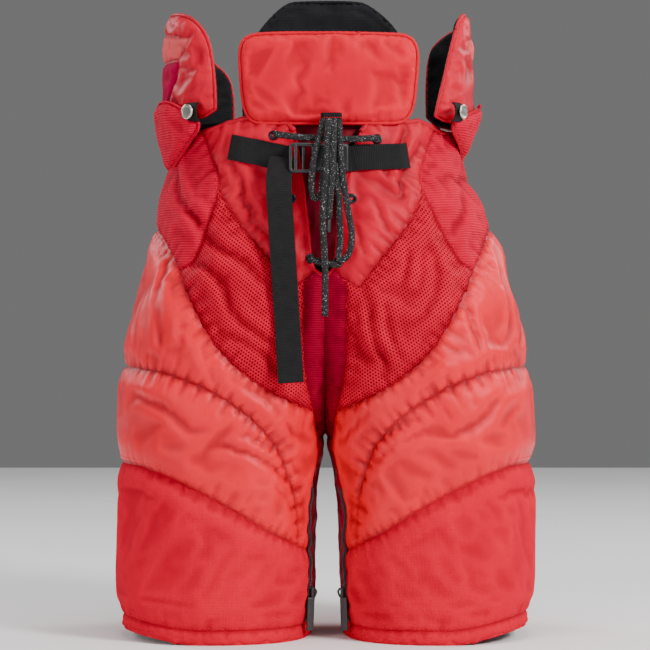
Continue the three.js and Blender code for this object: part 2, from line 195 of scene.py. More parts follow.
def set_uv(obj, flat):
    """Lays out UVs in metres, from one flat place for each vertex."""
    corners = read_array(obj.data.loops, "vertex_index", dtype=int)
    uv = obj.data.uv_layers.new(name="UVMap")
    uv.data.foreach_set("uv", np.asarray(flat)[corners].ravel())


def tube_faces(rings, around, closed=False):
    """Quads between rings of points; a closed tube's last ring joins its first."""
    faces = []
    for i in range(rings if closed else rings - 1):
        j = (i + 1) % rings
        for k in range(around):
            l = (k + 1) % around
            faces.append((i * around + k, i * around + l, j * around + l, j * around + k))
    return faces


def stand_in(piece, body, node):
    """The piece rides on a body and is shown for a CAD node."""
    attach(piece, body)
    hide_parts(node)


# The "fold" attribute is the mask that places painted shade in the hollows of the cloth.
def set_fold(mesh, values):
    set_point_values(mesh, "fold", values)


def smoothstep(value):
    t = np.clip(value, 0.0, 1.0)
    return t * t * (3.0 - 2.0 * t)


def curve_through(points, step=5.0):
    """A smooth run of points, about step apart, through the given ones (Catmull-Rom)."""
    pts = np.array(points, dtype=float)
    padded = np.vstack([2 * pts[0] - pts[1], pts, 2 * pts[-1] - pts[-2]])
    out = []
    for i in range(1, len(padded) - 2):
        p0, p1, p2, p3 = padded[i - 1:i + 3]
        count = max(1, int(round(np.linalg.norm(p2 - p1) / step)))
        for k in range(count):
            t = k / count
            out.append(0.5 * (2 * p1 + (p2 - p0) * t + (2 * p0 - 5 * p1 + 4 * p2 - p3) * t ** 2
                              + (3 * p1 - p0 - 3 * p2 + p3) * t ** 3))
    out.append(pts[-1])
    return np.array(out)


# ------------------------------------------------------------------ laces

LACE_WIDTH = 0.0064

LACE_ROUTES = {
    # name: the points that its centreline passes through, in mm
    "lace_top_rung": [(-50, -117.5, 500), (-25, -121, 496.5), (20, -121, 494.5), (53, -118, 496)],
    "lace_bottom_rung": [
        (-14.6, -121.5, 378.5), (-13.6, -126.4, 377.5), (-2, -128.5, 374), (12, -127.5, 372),
        (14, -121.5, 373.5),
    ],
    "lace_loop_left": [
        (-1.6, -127.5, 513), (-4.5, -130, 500), (-10.5, -131.5, 475), (-13, -130.5, 452),
        (-10.5, -129.5, 437), (-4.5, -130, 440), (-2.2, -131, 455), (-0.6, -131.5, 476),
    ],
    "lace_loop_right": [
        (13.6, -127.5, 513), (14.2, -131, 498), (16.5, -132, 465), (21.5, -131.5, 430),
        (26, -131, 400), (22, -130.5, 381), (13.5, -129.5, 377.5), (14.8, -130.5, 398),
        (13.0, -131, 440), (9.6, -131.5, 470),
    ],
    "lace_tail_left": [
        (3.6, -129.5, 513), (2.6, -136, 500), (1.2, -137, 462), (-2, -136, 420),
        (0, -133.5, 370), (0, -131.5, 322),
    ],
    "lace_tail_right": [
        (8.6, -129.5, 513), (8.4, -136, 500), (7.4, -137, 465), (4.6, -136, 432),
        (4, -135.5, 416),
    ],
}


def tube_frames(path, up):
    """Side and normal at each point of a path; the normal stays near up."""
    tangents = np.gradient(path, axis=0)
    tangents /= np.linalg.norm(tangents, axis=1)[:, None]
    sides = np.cross(tangents, np.array(up))
    for i in range(len(sides)):
        if np.linalg.norm(sides[i]) < 0.2:
            sides[i] = sides[i - 1] if i else np.cross(tangents[i], (1.0, 0.0, 0.0))
    sides /= np.linalg.norm(sides, axis=1)[:, None]
    return sides, np.cross(sides, tangents)


def sweep(name, path, section, material, closed=False, scale=None, up=(0.0, -1.0, 0.0)):
    """Sweeps a closed section [(side, normal)] along a path; UVs run along it in metres."""
    path = np.asarray(path, dtype=float)
    if closed:
        wrapped = np.vstack([path[-1], path, path[0]])
        sides, normals = (axis[1:-1] for axis in tube_frames(wrapped, up))
    else:
        sides, normals = tube_frames(path, up)
    section = np.asarray(section, dtype=float)
    n, m = len(path), len(section)
    scale = np.ones(n) if scale is None else np.asarray(scale)
    points = (path[:, None, :]
              + scale[:, None, None] * (section[None, :, :1] * sides[:, None, :]
                                        + section[None, :, 1:] * normals[:, None, :]))
    faces = tube_faces(n, m, closed)
    if not closed:
        faces.append(tuple(range(m - 1, -1, -1)))
        faces.append(tuple((n - 1) * m + k for k in range(m)))
    obj = mesh_object(name, points.reshape(-1, 3), faces, material)
    set_fold(obj.data, np.full(n * m, FLAT_CLOTH))
    lay_tube_uv(obj, path, section, closed)
    return obj


def lay_tube_uv(obj, path, section, closed):
    n, m = len(path), len(section)
    along = np.concatenate([[0.0], np.cumsum(np.linalg.norm(np.diff(path, axis=0), axis=1))])
    if closed:
        along = np.append(along, along[-1] + np.linalg.norm(path[0] - path[-1]))
    edges = np.linalg.norm(np.roll(section, -1, axis=0) - section, axis=1)
    around = np.concatenate([[0.0], np.cumsum(edges)])
    values = np.zeros((len(obj.data.loops), 2))
    loop = 0
    for i in range(n if closed else n - 1):
        near, far = along[i], along[i + 1]
        for k in range(m):
            values[loop:loop + 4] = [(near, around[k]), (near, around[k + 1]),
                                     (far, around[k + 1]), (far, around[k])]
            loop += 4
    obj.data.uv_layers.new(name="UVMap").data.foreach_set("uv", values.ravel())


def oval(width, height, sides=12, power=2.0):
    turns = np.linspace(0, 2 * np.pi, sides, endpoint=False)
    c, s = np.cos(turns), np.sin(turns)
    return np.stack([
        width / 2 * np.sign(c) * np.abs(c) ** (2 / power),
        height / 2 * np.sign(s) * np.abs(s) ** (2 / power),
    ], axis=1)


# ------------------------------------------------------------------ materials

class Shader:
    """A small wrapper that builds one procedural material."""

    def __init__(self, name):
        self.material = bpy.data.materials.new(name)
        self.material.use_nodes = True
        self.tree = self.material.node_tree
        self.bsdf = self.tree.nodes["Principled BSDF"]

    def node(self, kind, **values):
        made = self.tree.nodes.new(kind)
        for key, value in values.items():
            setattr(made, key, value)
        return made

    def wire(self, source, target):
        self.tree.links.new(source, target)

    def math(self, operation, a, b=None, c=None, clamp=False):
        made = self.node("ShaderNodeMath", operation=operation, use_clamp=clamp)
        for socket, value in zip(made.inputs, (a, b, c)):
            if value is None:
                continue
            if hasattr(value, "links"):
                self.wire(value, socket)
            else:
                socket.default_value = value
        return made.outputs[0]

    def uv(self):
        made = self.node("ShaderNodeUVMap", uv_map="UVMap")
        split = self.node("ShaderNodeSeparateXYZ")
        self.wire(made.outputs[0], split.inputs[0])
        return split.outputs[0], split.outputs[1]

    def noise(self, scale, detail=3.0, roughness=0.55, stretch=None):
        coords = self.node("ShaderNodeTexCoord")
        source = coords.outputs["Object"]
        if stretch is not None:
            mapping = self.node("ShaderNodeMapping")
            mapping.inputs["Scale"].default_value = stretch
            self.wire(source, mapping.inputs[0])
            source = mapping.outputs[0]
        made = self.node("ShaderNodeTexNoise")
        made.inputs["Scale"].default_value = scale
        made.inputs["Detail"].default_value = detail
        made.inputs["Roughness"].default_value = roughness
        self.wire(source, made.inputs["Vector"])
        return made.outputs["Fac"]

    def ramp(self, value, stops):
        made = self.node("ShaderNodeValToRGB")
        elements = made.color_ramp.elements
        while len(elements) < len(stops):
            elements.new(0.5)
        for element, (place, color) in zip(elements, stops):
            element.position = place
            element.color = (*color, 1.0)
        self.wire(value, made.inputs[0])
        return made.outputs[0]

    def mottled(self, color, scale, detail, dark, light):
        """A noise, and the colour made slightly uneven by it."""
        tone = self.noise(scale, detail)
        return tone, self.ramp(tone, [(0.3, shade(color, dark)), (0.7, shade(color, light))])

    def mix(self, factor, a, b):
        made = self.node("ShaderNodeMix", data_type="RGBA")
        for socket, value in ((made.inputs[0], factor), (made.inputs[6], a), (made.inputs[7], b)):
            if hasattr(value, "links"):
                self.wire(value, socket)
            elif isinstance(value, tuple):
                socket.default_value = (*value, 1.0)
            else:
                socket.default_value = value
        return made.outputs[2]

    def bump(self, height, distance, strength):
        made = self.node("ShaderNodeBump")
        made.inputs["Distance"].default_value = distance
        made.inputs["Strength"].default_value = strength
        self.wire(height, made.inputs["Height"])
        self.wire(made.outputs[0], self.bsdf.inputs["Normal"])

    def finish(self, color, roughness, **values):
        self.wire(color, self.bsdf.inputs["Base Color"])
        if hasattr(roughness, "links"):
            self.wire(roughness, self.bsdf.inputs["Roughness"])
        else:
            self.bsdf.inputs["Roughness"].default_value = roughness
        for key, value in values.items():
            self.bsdf.inputs[key.replace("_", " ")].default_value = value
        return self.material


def paint_fold_shade(shader, base, depth=0.5):
    """Paints shade into a colour: darker in the hollows of the folds, where the cloth would shade itself."""
    fold = shader.node("ShaderNodeAttribute")
    fold.attribute_name = "fold"
    hollow = shader.math("SUBTRACT", 0.62, fold.outputs["Fac"], clamp=True)
    return shader.mix(shader.math("MULTIPLY", hollow, depth * 2.4, clamp=True), base, PAINTED_SHADE_RED)


def half_wave(shader, coordinate, pitch):
    """A wave between 0 and 1 that repeats every pitch."""
    turn = shader.math("MULTIPLY", coordinate, 2 * math.pi / pitch)
    return shader.math("MULTIPLY_ADD", shader.math("COSINE", turn), 0.5, 0.5)


def plain_weave(shader, pitch):
    """Height of a plain weave: warp and weft crossing over each other."""
    u, v = shader.uv()
    warp = half_wave(shader, u, pitch)
    weft = half_wave(shader, v, pitch)
    over = shader.math("MULTIPLY", half_wave(shader, u, 2 * pitch), half_wave(shader, v, 2 * pitch))
    return shader.math("ADD", shader.math("MULTIPLY", warp, weft), shader.math("MULTIPLY", over, 0.6))


def shade(color, amount):
    return tuple(min(1.0, channel * amount) for channel in color)


def nylon_material(name, color, roughness, shine=0.34, gloss=0.2, crease_depth=CREASE):
    """Plain weave with small creases. Gloss is how white its highlights are, 0 to 1."""
    s = Shader(name)
    tone, base = s.mottled(color, 22.0, 4.0, 0.9, 1.06)
    height = s.math("ADD", plain_weave(s, 0.0007), s.math("MULTIPLY", s.noise(160.0), 1.6))
    crease = s.math("ABSOLUTE", s.math("SUBTRACT", s.noise(26.0, 2.0, 0.45), 0.5))
    height = s.math("SUBTRACT", height, s.math("MULTIPLY", crease, crease_depth))
    s.bump(height, 0.00012, 0.5)
    rough = s.math("MULTIPLY_ADD", tone, 0.12, roughness - 0.06)
    return s.finish(paint_fold_shade(s, base), rough, Specular_IOR_Level=shine,
                    Specular_Tint=(1.0, gloss, gloss * 1.15, 1.0))


def cordura_material(name, color):
    s = Shader(name)
    weave = plain_weave(s, 0.0013)
    _, base = s.mottled(color, 30.0, 4.0, 0.9, 1.08)
    # Painted shade: the gaps between the threads of the weave are darkened.
    gaps = s.math("MULTIPLY", s.math("SUBTRACT", 1.0, weave), 0.28)
    base = s.mix(gaps, base, shade(color, 0.5))
    s.bump(s.math("ADD", weave, s.math("MULTIPLY", s.noise(900.0, 2.0), 0.6)), 0.00035, 0.7)
    return s.finish(paint_fold_shade(s, base, 0.35), 0.8, Specular_Tint=GLOSS_RED, Specular_IOR_Level=0.05)


def mesh_knit_material(name, color, pitch=0.0027):
    """Open warp knit: a hexagonal lattice of small holes that show a darker backing."""
    s = Shader(name)
    u, v = s.uv()
    half_u = s.math("MULTIPLY", u, 0.5)
    tall_v = s.math("MULTIPLY", v, 0.8)
    first = half_wave(s, u, pitch)
    second = half_wave(s, s.math("ADD", half_u, tall_v), pitch)
    third = half_wave(s, s.math("SUBTRACT", tall_v, half_u), pitch)
    lattice = s.math("ADD", s.math("ADD", first, second), third)
    _, thread = s.mottled(color, 26.0, 4.0, 0.92, 1.18)
    hole = s.math("MULTIPLY", s.math("SUBTRACT", lattice, 1.75), 1.6, clamp=True)
    base = s.mix(hole, thread, shade(color, 0.22))
    s.bump(s.math("SUBTRACT", 1.0, s.math("MULTIPLY", lattice, 0.5)), 0.0009, 0.8)
    return s.finish(paint_fold_shade(s, base), 0.5, Specular_Tint=GLOSS_RED, Specular_IOR_Level=0.14)


def rib_knit_material(name, color, pitch=0.0024):
    s = Shader(name)
    u, v = s.uv()
    ribs = half_wave(s, v, pitch)
    stitches = half_wave(s, u, 0.0016)
    _, base = s.mottled(color, 24.0, 4.0, 0.92, 1.1)
    # Painted shade: the grooves between the ribs are darkened.
    groove = s.math("POWER", s.math("SUBTRACT", 1.0, ribs), 2.0)
    base = s.mix(s.math("MULTIPLY", groove, 0.5), base, shade(color, 0.4))
    s.bump(s.math("ADD", ribs, s.math("MULTIPLY", stitches, 0.12)), 0.0006, 0.8)
    return s.finish(paint_fold_shade(s, base), 0.65, Specular_Tint=GLOSS_RED, Specular_IOR_Level=0.08)


def webbing_material(name, color=(0.006, 0.0055, 0.006)):
    """Ribbed belt webbing: fine cross ribs with a slight lengthwise twill."""
    s = Shader(name)
    u, v = s.uv()
    cross = half_wave(s, u, 0.0017)
    along = half_wave(s, s.math("ADD", v, s.math("MULTIPLY", u, 0.5)), 0.0014)
    height = s.math("ADD", cross, s.math("MULTIPLY", along, 0.5))
    _, base = s.mottled(color, 120.0, 3.0, 0.8, 1.6)
    # Painted highlight: the raised ribs are made lighter.
    base = s.mix(s.math("MULTIPLY", height, 0.35), base, shade(color, 2.4))
    s.bump(height, 0.0004, 0.8)
    return s.finish(base, 0.62, Specular_IOR_Level=0.12)


def lining_material(name, color=(0.007, 0.007, 0.008)):
    s = Shader(name)
    tone, base = s.mottled(color, 40.0, 4.0, 0.7, 1.8)
    s.bump(s.math("ADD", plain_weave(s, 0.0016), tone), 0.0004, 0.6)
    return s.finish(base, 0.85, Specular_IOR_Level=0.12)


def lace_material(name):
    """Black braid with white flecks."""
    s = Shader(name)
    u, v = s.uv()
    left = half_wave(s, s.math("ADD", u, v), 0.0019)
    right = half_wave(s, s.math("SUBTRACT", u, v), 0.0019)
    braid = s.math("MAXIMUM", left, right)
    spots = s.noise(900.0, 1.0, 0.4)
    fleck = s.math("MULTIPLY", s.math("SUBTRACT", spots, 0.64), 14.0, clamp=True)
    fleck = s.math("MULTIPLY", fleck, s.math("MULTIPLY", braid, 1.2, clamp=True))
    base = s.mix(fleck, (0.008, 0.008, 0.009), (0.42, 0.42, 0.40))
    s.bump(braid, 0.0005, 0.9)
    return s.finish(base, 0.6, Specular_IOR_Level=0.25)


def plastic_material(name, color=(0.012, 0.012, 0.013), roughness=0.36):
    s = Shader(name)
    broad, base = s.mottled(color, 60.0, 3.0, 0.85, 1.4)
    s.bump(s.noise(700.0, 2.0), 0.00008, 0.35)
    return s.finish(base, s.math("MULTIPLY_ADD", broad, 0.15, roughness - 0.07))


def metal_material(name, color, roughness=0.28):
    s = Shader(name)
    scratches = s.noise(400.0, 4.0, 0.7, stretch=(1.0, 1.0, 0.2))
    base = s.ramp(scratches, [(0.3, shade(color, 0.8)), (0.75, shade(color, 1.1))])
    s.bump(scratches, 0.00004, 0.4)
    return s.finish(base, s.math("MULTIPLY_ADD", scratches, 0.25, roughness - 0.1), Metallic=1.0)


def thread_material(name, color):
    s = Shader(name)
    twist, base = s.mottled(color, 1500.0, 2.0, 0.7, 1.2)
    s.bump(twist, 0.0001, 0.5)
    return s.finish(base, 0.6, Specular_IOR_Level=0.2)


# Base colours are scene-linear. Red cloth takes nearly no green, which the view transform adds.
GLOSS_RED = (1.0, 0.22, 0.20, 1.0)
# Painted shade: the dark red mixed into cloth in the hollows of its folds.
PAINTED_SHADE_RED = (0.10, 0.0, 0.002)

LOOKS = {
    "nylon": nylon_material("red_nylon", (0.74, 0.003, 0.018), 0.38, shine=0.4, gloss=0.42),
    "yoke_nylon": nylon_material("yoke_red_nylon", (0.50, 0.0010, 0.020), 0.38, gloss=0.24),
    "pad_nylon": nylon_material("padded_red_nylon", (0.62, 0.0015, 0.020), 0.46, shine=0.28,
                                crease_depth=26.0),
    # The fly tongue: red nylon, darkened as painted shade for the shade inside the fly.
    "fly_nylon_painted_shade": nylon_material("fly_tongue_nylon_painted_shade", (0.13, 0.0004, 0.010), 0.42),
    "cordura": cordura_material("matte_red_weave", (0.68, 0.0006, 0.028)),
    "mesh": mesh_knit_material("red_open_knit", (0.50, 0.0004, 0.022)),
    "rib": rib_knit_material("red_rib_knit", (0.56, 0.0008, 0.030)),
    "gusset": rib_knit_material("crimson_knit", (0.27, 0.0005, 0.020), 0.0022),
    "inner": nylon_material("crimson_inner_cloth", (0.42, 0.0008, 0.034), 0.6),
    "lining": lining_material("black_lining"),
    "webbing": webbing_material("black_webbing"),
    "lace": lace_material("flecked_lace"),
    "acetal": plastic_material("black_buckle_plastic"),
    "zip": plastic_material("black_zip", (0.014, 0.014, 0.015), 0.45),
    "metal": metal_material("brushed_metal", (0.62, 0.60, 0.54)),
    "dark_metal": metal_material("black_eyelet_metal", (0.03, 0.03, 0.034), 0.3),
    "thread": thread_material("red_thread", (0.62, 0.004, 0.02)),
    "pink": nylon_material("dusty_pink_cloth", (0.66, 0.080, 0.090), 0.7, shine=0.05,
                           crease_depth=6.0),
    "magenta": nylon_material("magenta_cloth", (0.34, 0.0002, 0.038), 0.7, shine=0.04,
                              crease_depth=6.0),
}


# ------------------------------------------------------------------ laces, placed first


def make_laces():
    made = {}
    for name, points in LACE_ROUTES.items():
        path = curve_through(points, 2.0) * MM
        piece = sweep(f"{name}_cord", path, oval(LACE_WIDTH, LACE_WIDTH * 0.62, 14), LOOKS["lace"])
        made[name] = (piece, path)
    return made


LACES = make_laces()


# ------------------------------------------------------------------ the pants' surface

class BodySurface:
    """One leg and half the hips as a surface over (u, z); u = 0 is the outer side, the front
    has u < 0, and u = +-pi is the inner side. x is the distance from the middle."""

    def __init__(self):
        heights = np.arange(SECTIONS[0, 0], SECTIONS[-1, 0] + 0.1, 1.0)
        reach = 14
        kernel = np.exp(-0.5 * (np.arange(-reach, reach + 1) / 6.0) ** 2)
        kernel /= kernel.sum()
        columns = []
        for column in SECTIONS.T[1:]:
            raw = np.interp(heights, SECTIONS[:, 0], column)
            columns.append(np.convolve(np.pad(raw, reach, mode="edge"), kernel, mode="valid"))
        self.heights = heights
        self.columns = np.array(columns)
        self.turns = np.linspace(-np.pi, np.pi, 481)
        self.rows = np.arange(-10.0, 545.1, 5.0)
        self.arc = np.array([self._row_arc(z) for z in self.rows])

    def section(self, z):
        return [np.interp(z, self.heights, column) for column in self.columns]

    def place(self, u, z, outset=0.0):
        outer, inner, front, back = self.section(z)
        half_x = (outer - inner) / 2 + outset
        half_y = (back - front) / 2 + outset
        c, s = np.cos(u), np.sin(u)
        power = 2 / ROUNDNESS
        x = (outer + inner) / 2 + half_x * np.sign(c) * np.abs(c) ** power
        y = (front + back) / 2 + half_y * np.sign(s) * np.abs(s) ** power
        return x, y

    def _row_arc(self, z):
        x, y = self.place(self.turns, z)
        steps = np.hypot(np.diff(x), np.diff(y))
        arc = np.concatenate([[0.0], np.cumsum(steps)])
        return arc - np.interp(0.0, self.turns, arc)

    def _between(self, z):
        place = np.clip((np.asarray(z, dtype=float) - self.rows[0]) / 5.0, 0, len(self.rows) - 1.001)
        row = place.astype(int)
        return row, place - row

    def arc_of(self, u, z):
        row, part = self._between(z)
        low = np.array([np.interp(a, self.turns, self.arc[r]) for a, r in zip(u, row)])
        high = np.array([np.interp(a, self.turns, self.arc[r + 1]) for a, r in zip(u, row)])
        return low + (high - low) * part

    def arc_at(self, u, z):
        return float(self.arc_of(np.array([u]), np.array([z]))[0])

    def turn_of(self, s, z):
        row, part = self._between(z)
        out = np.empty(len(s))
        for i, (value, r, p) in enumerate(zip(s, row, part)):
            arc = self.arc[r] + (self.arc[r + 1] - self.arc[r]) * p
            out[i] = np.interp(value, arc, self.turns)
        return out

    def turn_at_x(self, x, z, front=True):
        outer, inner, _, _ = self.section(z)
        t = np.clip((x - (outer + inner) / 2) / ((outer - inner) / 2), -1.0, 1.0)
        u = np.arccos(np.sign(t) * np.abs(t) ** (ROUNDNESS / 2))
        return -u if front else u

    def turn_at_y(self, y, z, outer_side=True):
        _, _, front, back = self.section(z)
        t = np.clip((y - (front + back) / 2) / ((back - front) / 2), -1.0, 1.0)
        u = np.arcsin(np.sign(t) * np.abs(t) ** (ROUNDNESS / 2))
        return u if outer_side else np.sign(y) * np.pi - u


SURFACE = BodySurface()


def seam_in_domain(points, front=True, step=4.0):
    """A seam given as (x, z), as points (s, z) on the unrolled surface."""
    run = curve_through(points, step)
    u = np.array([SURFACE.turn_at_x(x, z, front) for x, z in run])
    return np.stack([SURFACE.arc_of(u, run[:, 1]), run[:, 1]], axis=1)


def level_line(u0, u1, z, step=4.0):
    turns = np.linspace(u0, u1, 200)
    s = SURFACE.arc_of(turns, np.full(200, z))
    count = max(2, int(abs(s[-1] - s[0]) / step))
    picks = np.linspace(s[0], s[-1], count)
    return np.stack([picks, np.full(count, z)], axis=1)


def upright_line(turn_at, z0, z1, step=4.0):
    heights = np.linspace(z0, z1, max(2, int(abs(z1 - z0) / step)))
    u = np.array([turn_at(z) for z in heights])
    return np.stack([SURFACE.arc_of(u, heights), heights], axis=1)


# ------------------------------------------------------------------ the panel pattern

# Panel: (look, seed). The seed is x, a y hint and z, and picks the panel's region.
PANELS = {
    "yoke": ("yoke_nylon", (70, -1, 440)),
    "rib_panel": ("rib", (150, -1, 440)),
    "mesh_panel": ("mesh", (80, -1, 330)),
    "upper_thigh": ("nylon", (180, -1, 300)),
    "mid_thigh": ("nylon", (110, -1, 200)),
    "lower_thigh": ("cordura", (110, -1, 70)),
    "hem_band": ("cordura", (110, -1, 7)),
    "inner_leg": ("inner", (None, 0, 100)),
    "back_leg": ("cordura", (110, 1, 120)),
    "seat": ("nylon", (60, 1, 430)),
    "gusset": ("gusset", (8, -1, 300)),
}

# How far each outer side leans in, in mm, by height; and how far its hem rides up.
SLUMP = {
    "left": ([0, 120, 300, 380, 420, 500, 520], [2, 3, 3, 5, 2, 0, 0]),
    "right": ([0, 120, 300, 380, 430, 458, 490, 515], [2, 1, 2, 2, 9, 17, 17, 13]),
}
# How far each inner side stands out towards the other leg, in mm, by height.
INNER_SWELL = {
    "left": ([0, 60, 140, 190, 215], [10, 12, 7.5, 3, 0]),
    "right": ([0, 60, 140, 190, 215], [5, 6.5, 3.5, 2, 0]),
}
HEM_LIFT = {"left": 9.0, "right": 12.0}
SHELL_INSET = 3.4  # mm between the drawn outline and the seams, room for the padding to swell

# How strongly each seam gathers the cloth beside it, in mm.
PUCKER = {"mid": 1.5, "lower": 0.8, "thigh": 0.9, "yoke": 0.9, "waist": 1.4, "hem": 0.6, "other": 0.35}


def extended(run, amount=1.6):
    run = np.asarray(run)
    first = run[0] + (run[0] - run[1]) / np.linalg.norm(run[0] - run[1]) * amount
    last = run[-1] + (run[-1] - run[-2]) / np.linalg.norm(run[-1] - run[-2]) * amount
    return np.vstack([first, run, last])


def resampled(run, step):
    run = np.asarray(run, dtype=float)
    length = np.concatenate([[0.0], np.cumsum(np.linalg.norm(np.diff(run, axis=0), axis=1))])
    picks = np.linspace(0.0, length[-1], max(2, int(round(length[-1] / step)) + 1))
    return np.stack([np.interp(picks, length, run[:, k]) for k in range(2)], axis=1)


def centre_line(z0, z1, front):
    heights = np.arange(z0, z1 + 0.01, 0.5)
    u = np.array([SURFACE.turn_at_x(0.0, z, front) for z in heights])
    return np.stack([SURFACE.arc_of(u, heights), heights], axis=1)


def side_outline(side):
    """The half pants' outline on the unrolled surface, as runs that start at the waist."""
    fly = [point for point in FLY_EDGE[side] if point[1] < WAIST_EDGE[side][0][1] - 6]
    fly_run = seam_in_domain(fly + [WAIST_EDGE[side][0]])
    waist_front = seam_in_domain(WAIST_EDGE[side])
    u_back = SURFACE.turn_at_x(0.0, BACK_WAIST_Z, front=False)
    waist_back = level_line(waist_back_start(waist_front), u_back, BACK_WAIST_Z)
    back = centre_line(0.0, BACK_WAIST_Z, front=False)[::-1]
    hem = level_line(np.pi, -np.pi, 0.0)
    front = centre_line(0.0, FLY_EDGE[side][0][1], front=True)
    return {"waist_front": waist_front, "waist_back": waist_back, "back": back, "hem": hem,
            "front": front, "fly": fly_run}


def waist_back_start(waist_front):
    return float(SURFACE.turn_of(waist_front[-1:, 0], waist_front[-1:, 1])[0])


def gusset_half(z):
    """Half the width of the front of the gusset, which narrows towards the crotch."""
    return float(np.interp(z, [200, 216, 240, 268, 300], [7.6, 8.2, 12.5, 18.0, 20.0]))


def to_inseam(run):
    """Carries a seam on to the line where the front meets the inner leg."""
    z = run[-1, 1] - 1.5
    return np.vstack([run, [SURFACE.arc_at(SURFACE.turn_at_y(INSEAM_Y + 2.0, z, False), z), z]])


def side_seams():
    """Every seam of one side as (kind, run) on the unrolled surface."""
    at_y, at_x = SURFACE.turn_at_y, SURFACE.turn_at_x
    outseam = upright_line(lambda z: at_y(OUTSEAM_Y, z), HEM_Z, 402.0)
    side_mid, side_low = (level_line(0.0, at_y(OUTSEAM_Y, z), z) for z in (272.0, 176.0))
    crotch_front = at_x(gusset_half(CROTCH_Z) + 1.0, CROTCH_Z)
    crotch_back = at_x(GUSSET_HALF, CROTCH_Z, False)
    return [
        ("yoke", seam_in_domain(YOKE_SEAM)),
        ("other", seam_in_domain(RIB_SEAM)),
        ("thigh", seam_in_domain(THIGH_SEAM)),
        ("mid", seam_in_domain(MID_THIGH_SEAM)),
        ("mid", side_mid),
        ("lower", to_inseam(seam_in_domain(LOWER_SEAM))),
        ("lower", side_low),
        ("other", seam_in_domain(SEAT_SEAM, front=False)),
        ("other", seam_in_domain(BACK_THIGH_SEAM, front=False)),
        ("hem", level_line(-np.pi, np.pi, HEM_Z)),
        ("other", outseam),
        ("other", upright_line(lambda z: at_y(INSEAM_Y, z, False), HEM_Z, CROTCH_Z)),
        ("other", upright_line(lambda z: at_y(OUTSEAM_Y, z, False), HEM_Z, CROTCH_Z)),
        ("other", upright_line(lambda z: at_x(gusset_half(z), z), CROTCH_Z, 358.0)),
        ("other", upright_line(lambda z: at_x(GUSSET_HALF, z, False), CROTCH_Z, 334.0)),
        ("other", level_line(-np.pi, crotch_front, CROTCH_Z)),
        ("other", level_line(crotch_back, np.pi, CROTCH_Z)),
    ]


def inside_polygon(points, polygon):
    x, y = points[:, 0], points[:, 1]
    inside = np.zeros(len(points), dtype=bool)
    following = np.roll(polygon, -1, axis=0)
    for (x0, y0), (x1, y1) in zip(polygon, following):
        crosses = (y0 > y) != (y1 > y)
        with np.errstate(divide="ignore", invalid="ignore"):
            at = (x1 - x0) * (y - y0) / (y1 - y0) + x0
        inside ^= crosses & (x < at)
    return inside


def tree_of(points):
    tree = kdtree.KDTree(len(points))
    for i, point in enumerate(points):
        tree.insert((point[0], point[1], 0.0), i)
    tree.balance()
    return tree


def nearest(tree, points):
    found = [tree.find((p[0], p[1], 0.0)) for p in points]
    return np.array([f[1] for f in found]), np.array([f[2] for f in found])


def triangulate(outline, seams, spacing):
    """Conforming triangles over the outline, with every seam along their edges."""
    loop = np.vstack([resampled(run, spacing * 0.8)[:-1] for run in outline])
    runs = [resampled(extended(run), spacing * 0.8) for _, run in seams]
    points = [loop]
    edges = [(i, (i + 1) % len(loop)) for i in range(len(loop))]
    start = len(loop)
    for run in runs:
        points.append(run)
        edges += [(start + i, start + i + 1) for i in range(len(run) - 1)]
        start += len(run)
    fixed = np.vstack(points)
    low, high = loop.min(axis=0), loop.max(axis=0)
    rows = np.arange(low[1] + spacing / 2, high[1], spacing * math.sqrt(3) / 2)
    grid = []
    for k, z in enumerate(rows):
        shift = spacing / 2 if k % 2 else 0.0
        grid += [(s, z) for s in np.arange(low[0] + shift, high[0], spacing)]
    grid = np.array(grid)
    grid = grid[inside_polygon(grid, loop)]
    _, gap = nearest(tree_of(fixed), grid)
    grid = grid[gap > spacing * 0.55]
    every = np.vstack([fixed, grid])
    result = geometry.delaunay_2d_cdt([Vector(p) for p in every], edges, [], 0, 1e-4)
    verts = np.array([tuple(v) for v in result[0]])
    faces = np.array([tuple(f) for f in result[2]])
    centres = verts[faces].mean(axis=1)
    faces = faces[inside_polygon(centres, loop)]
    walls = {tuple(sorted(edge)) for edge, source in zip(result[1], result[4]) if source}
    used = np.unique(faces)
    remap = np.full(len(verts), -1)
    remap[used] = np.arange(len(used))
    walls = {(remap[a], remap[b]) for a, b in walls if remap[a] >= 0 and remap[b] >= 0}
    return verts[used], remap[faces], {tuple(sorted(w)) for w in walls}


def flood_regions(faces, walls):
    """Region number of each face; regions don't spread over walls."""
    owners = {}
    for f, face in enumerate(faces):
        for k in range(3):
            owners.setdefault(tuple(sorted((face[k], face[(k + 1) % 3]))), []).append(f)
    region = np.full(len(faces), -1)
    count = 0
    for start in range(len(faces)):
        if region[start] >= 0:
            continue
        stack = [start]
        region[start] = count
        while stack:
            f = stack.pop()
            face = faces[f]
            for k in range(3):
                edge = tuple(sorted((face[k], face[(k + 1) % 3])))
                if edge in walls:
                    continue
                for other in owners[edge]:
                    if region[other] < 0:
                        region[other] = count
                        stack.append(other)
        count += 1
    return region


def seed_in_domain(seed):
    x, y, z = seed
    u = -np.pi if x is None else SURFACE.turn_at_x(x, z, front=y < 0)
    return np.array([SURFACE.arc_at(u, z), z])


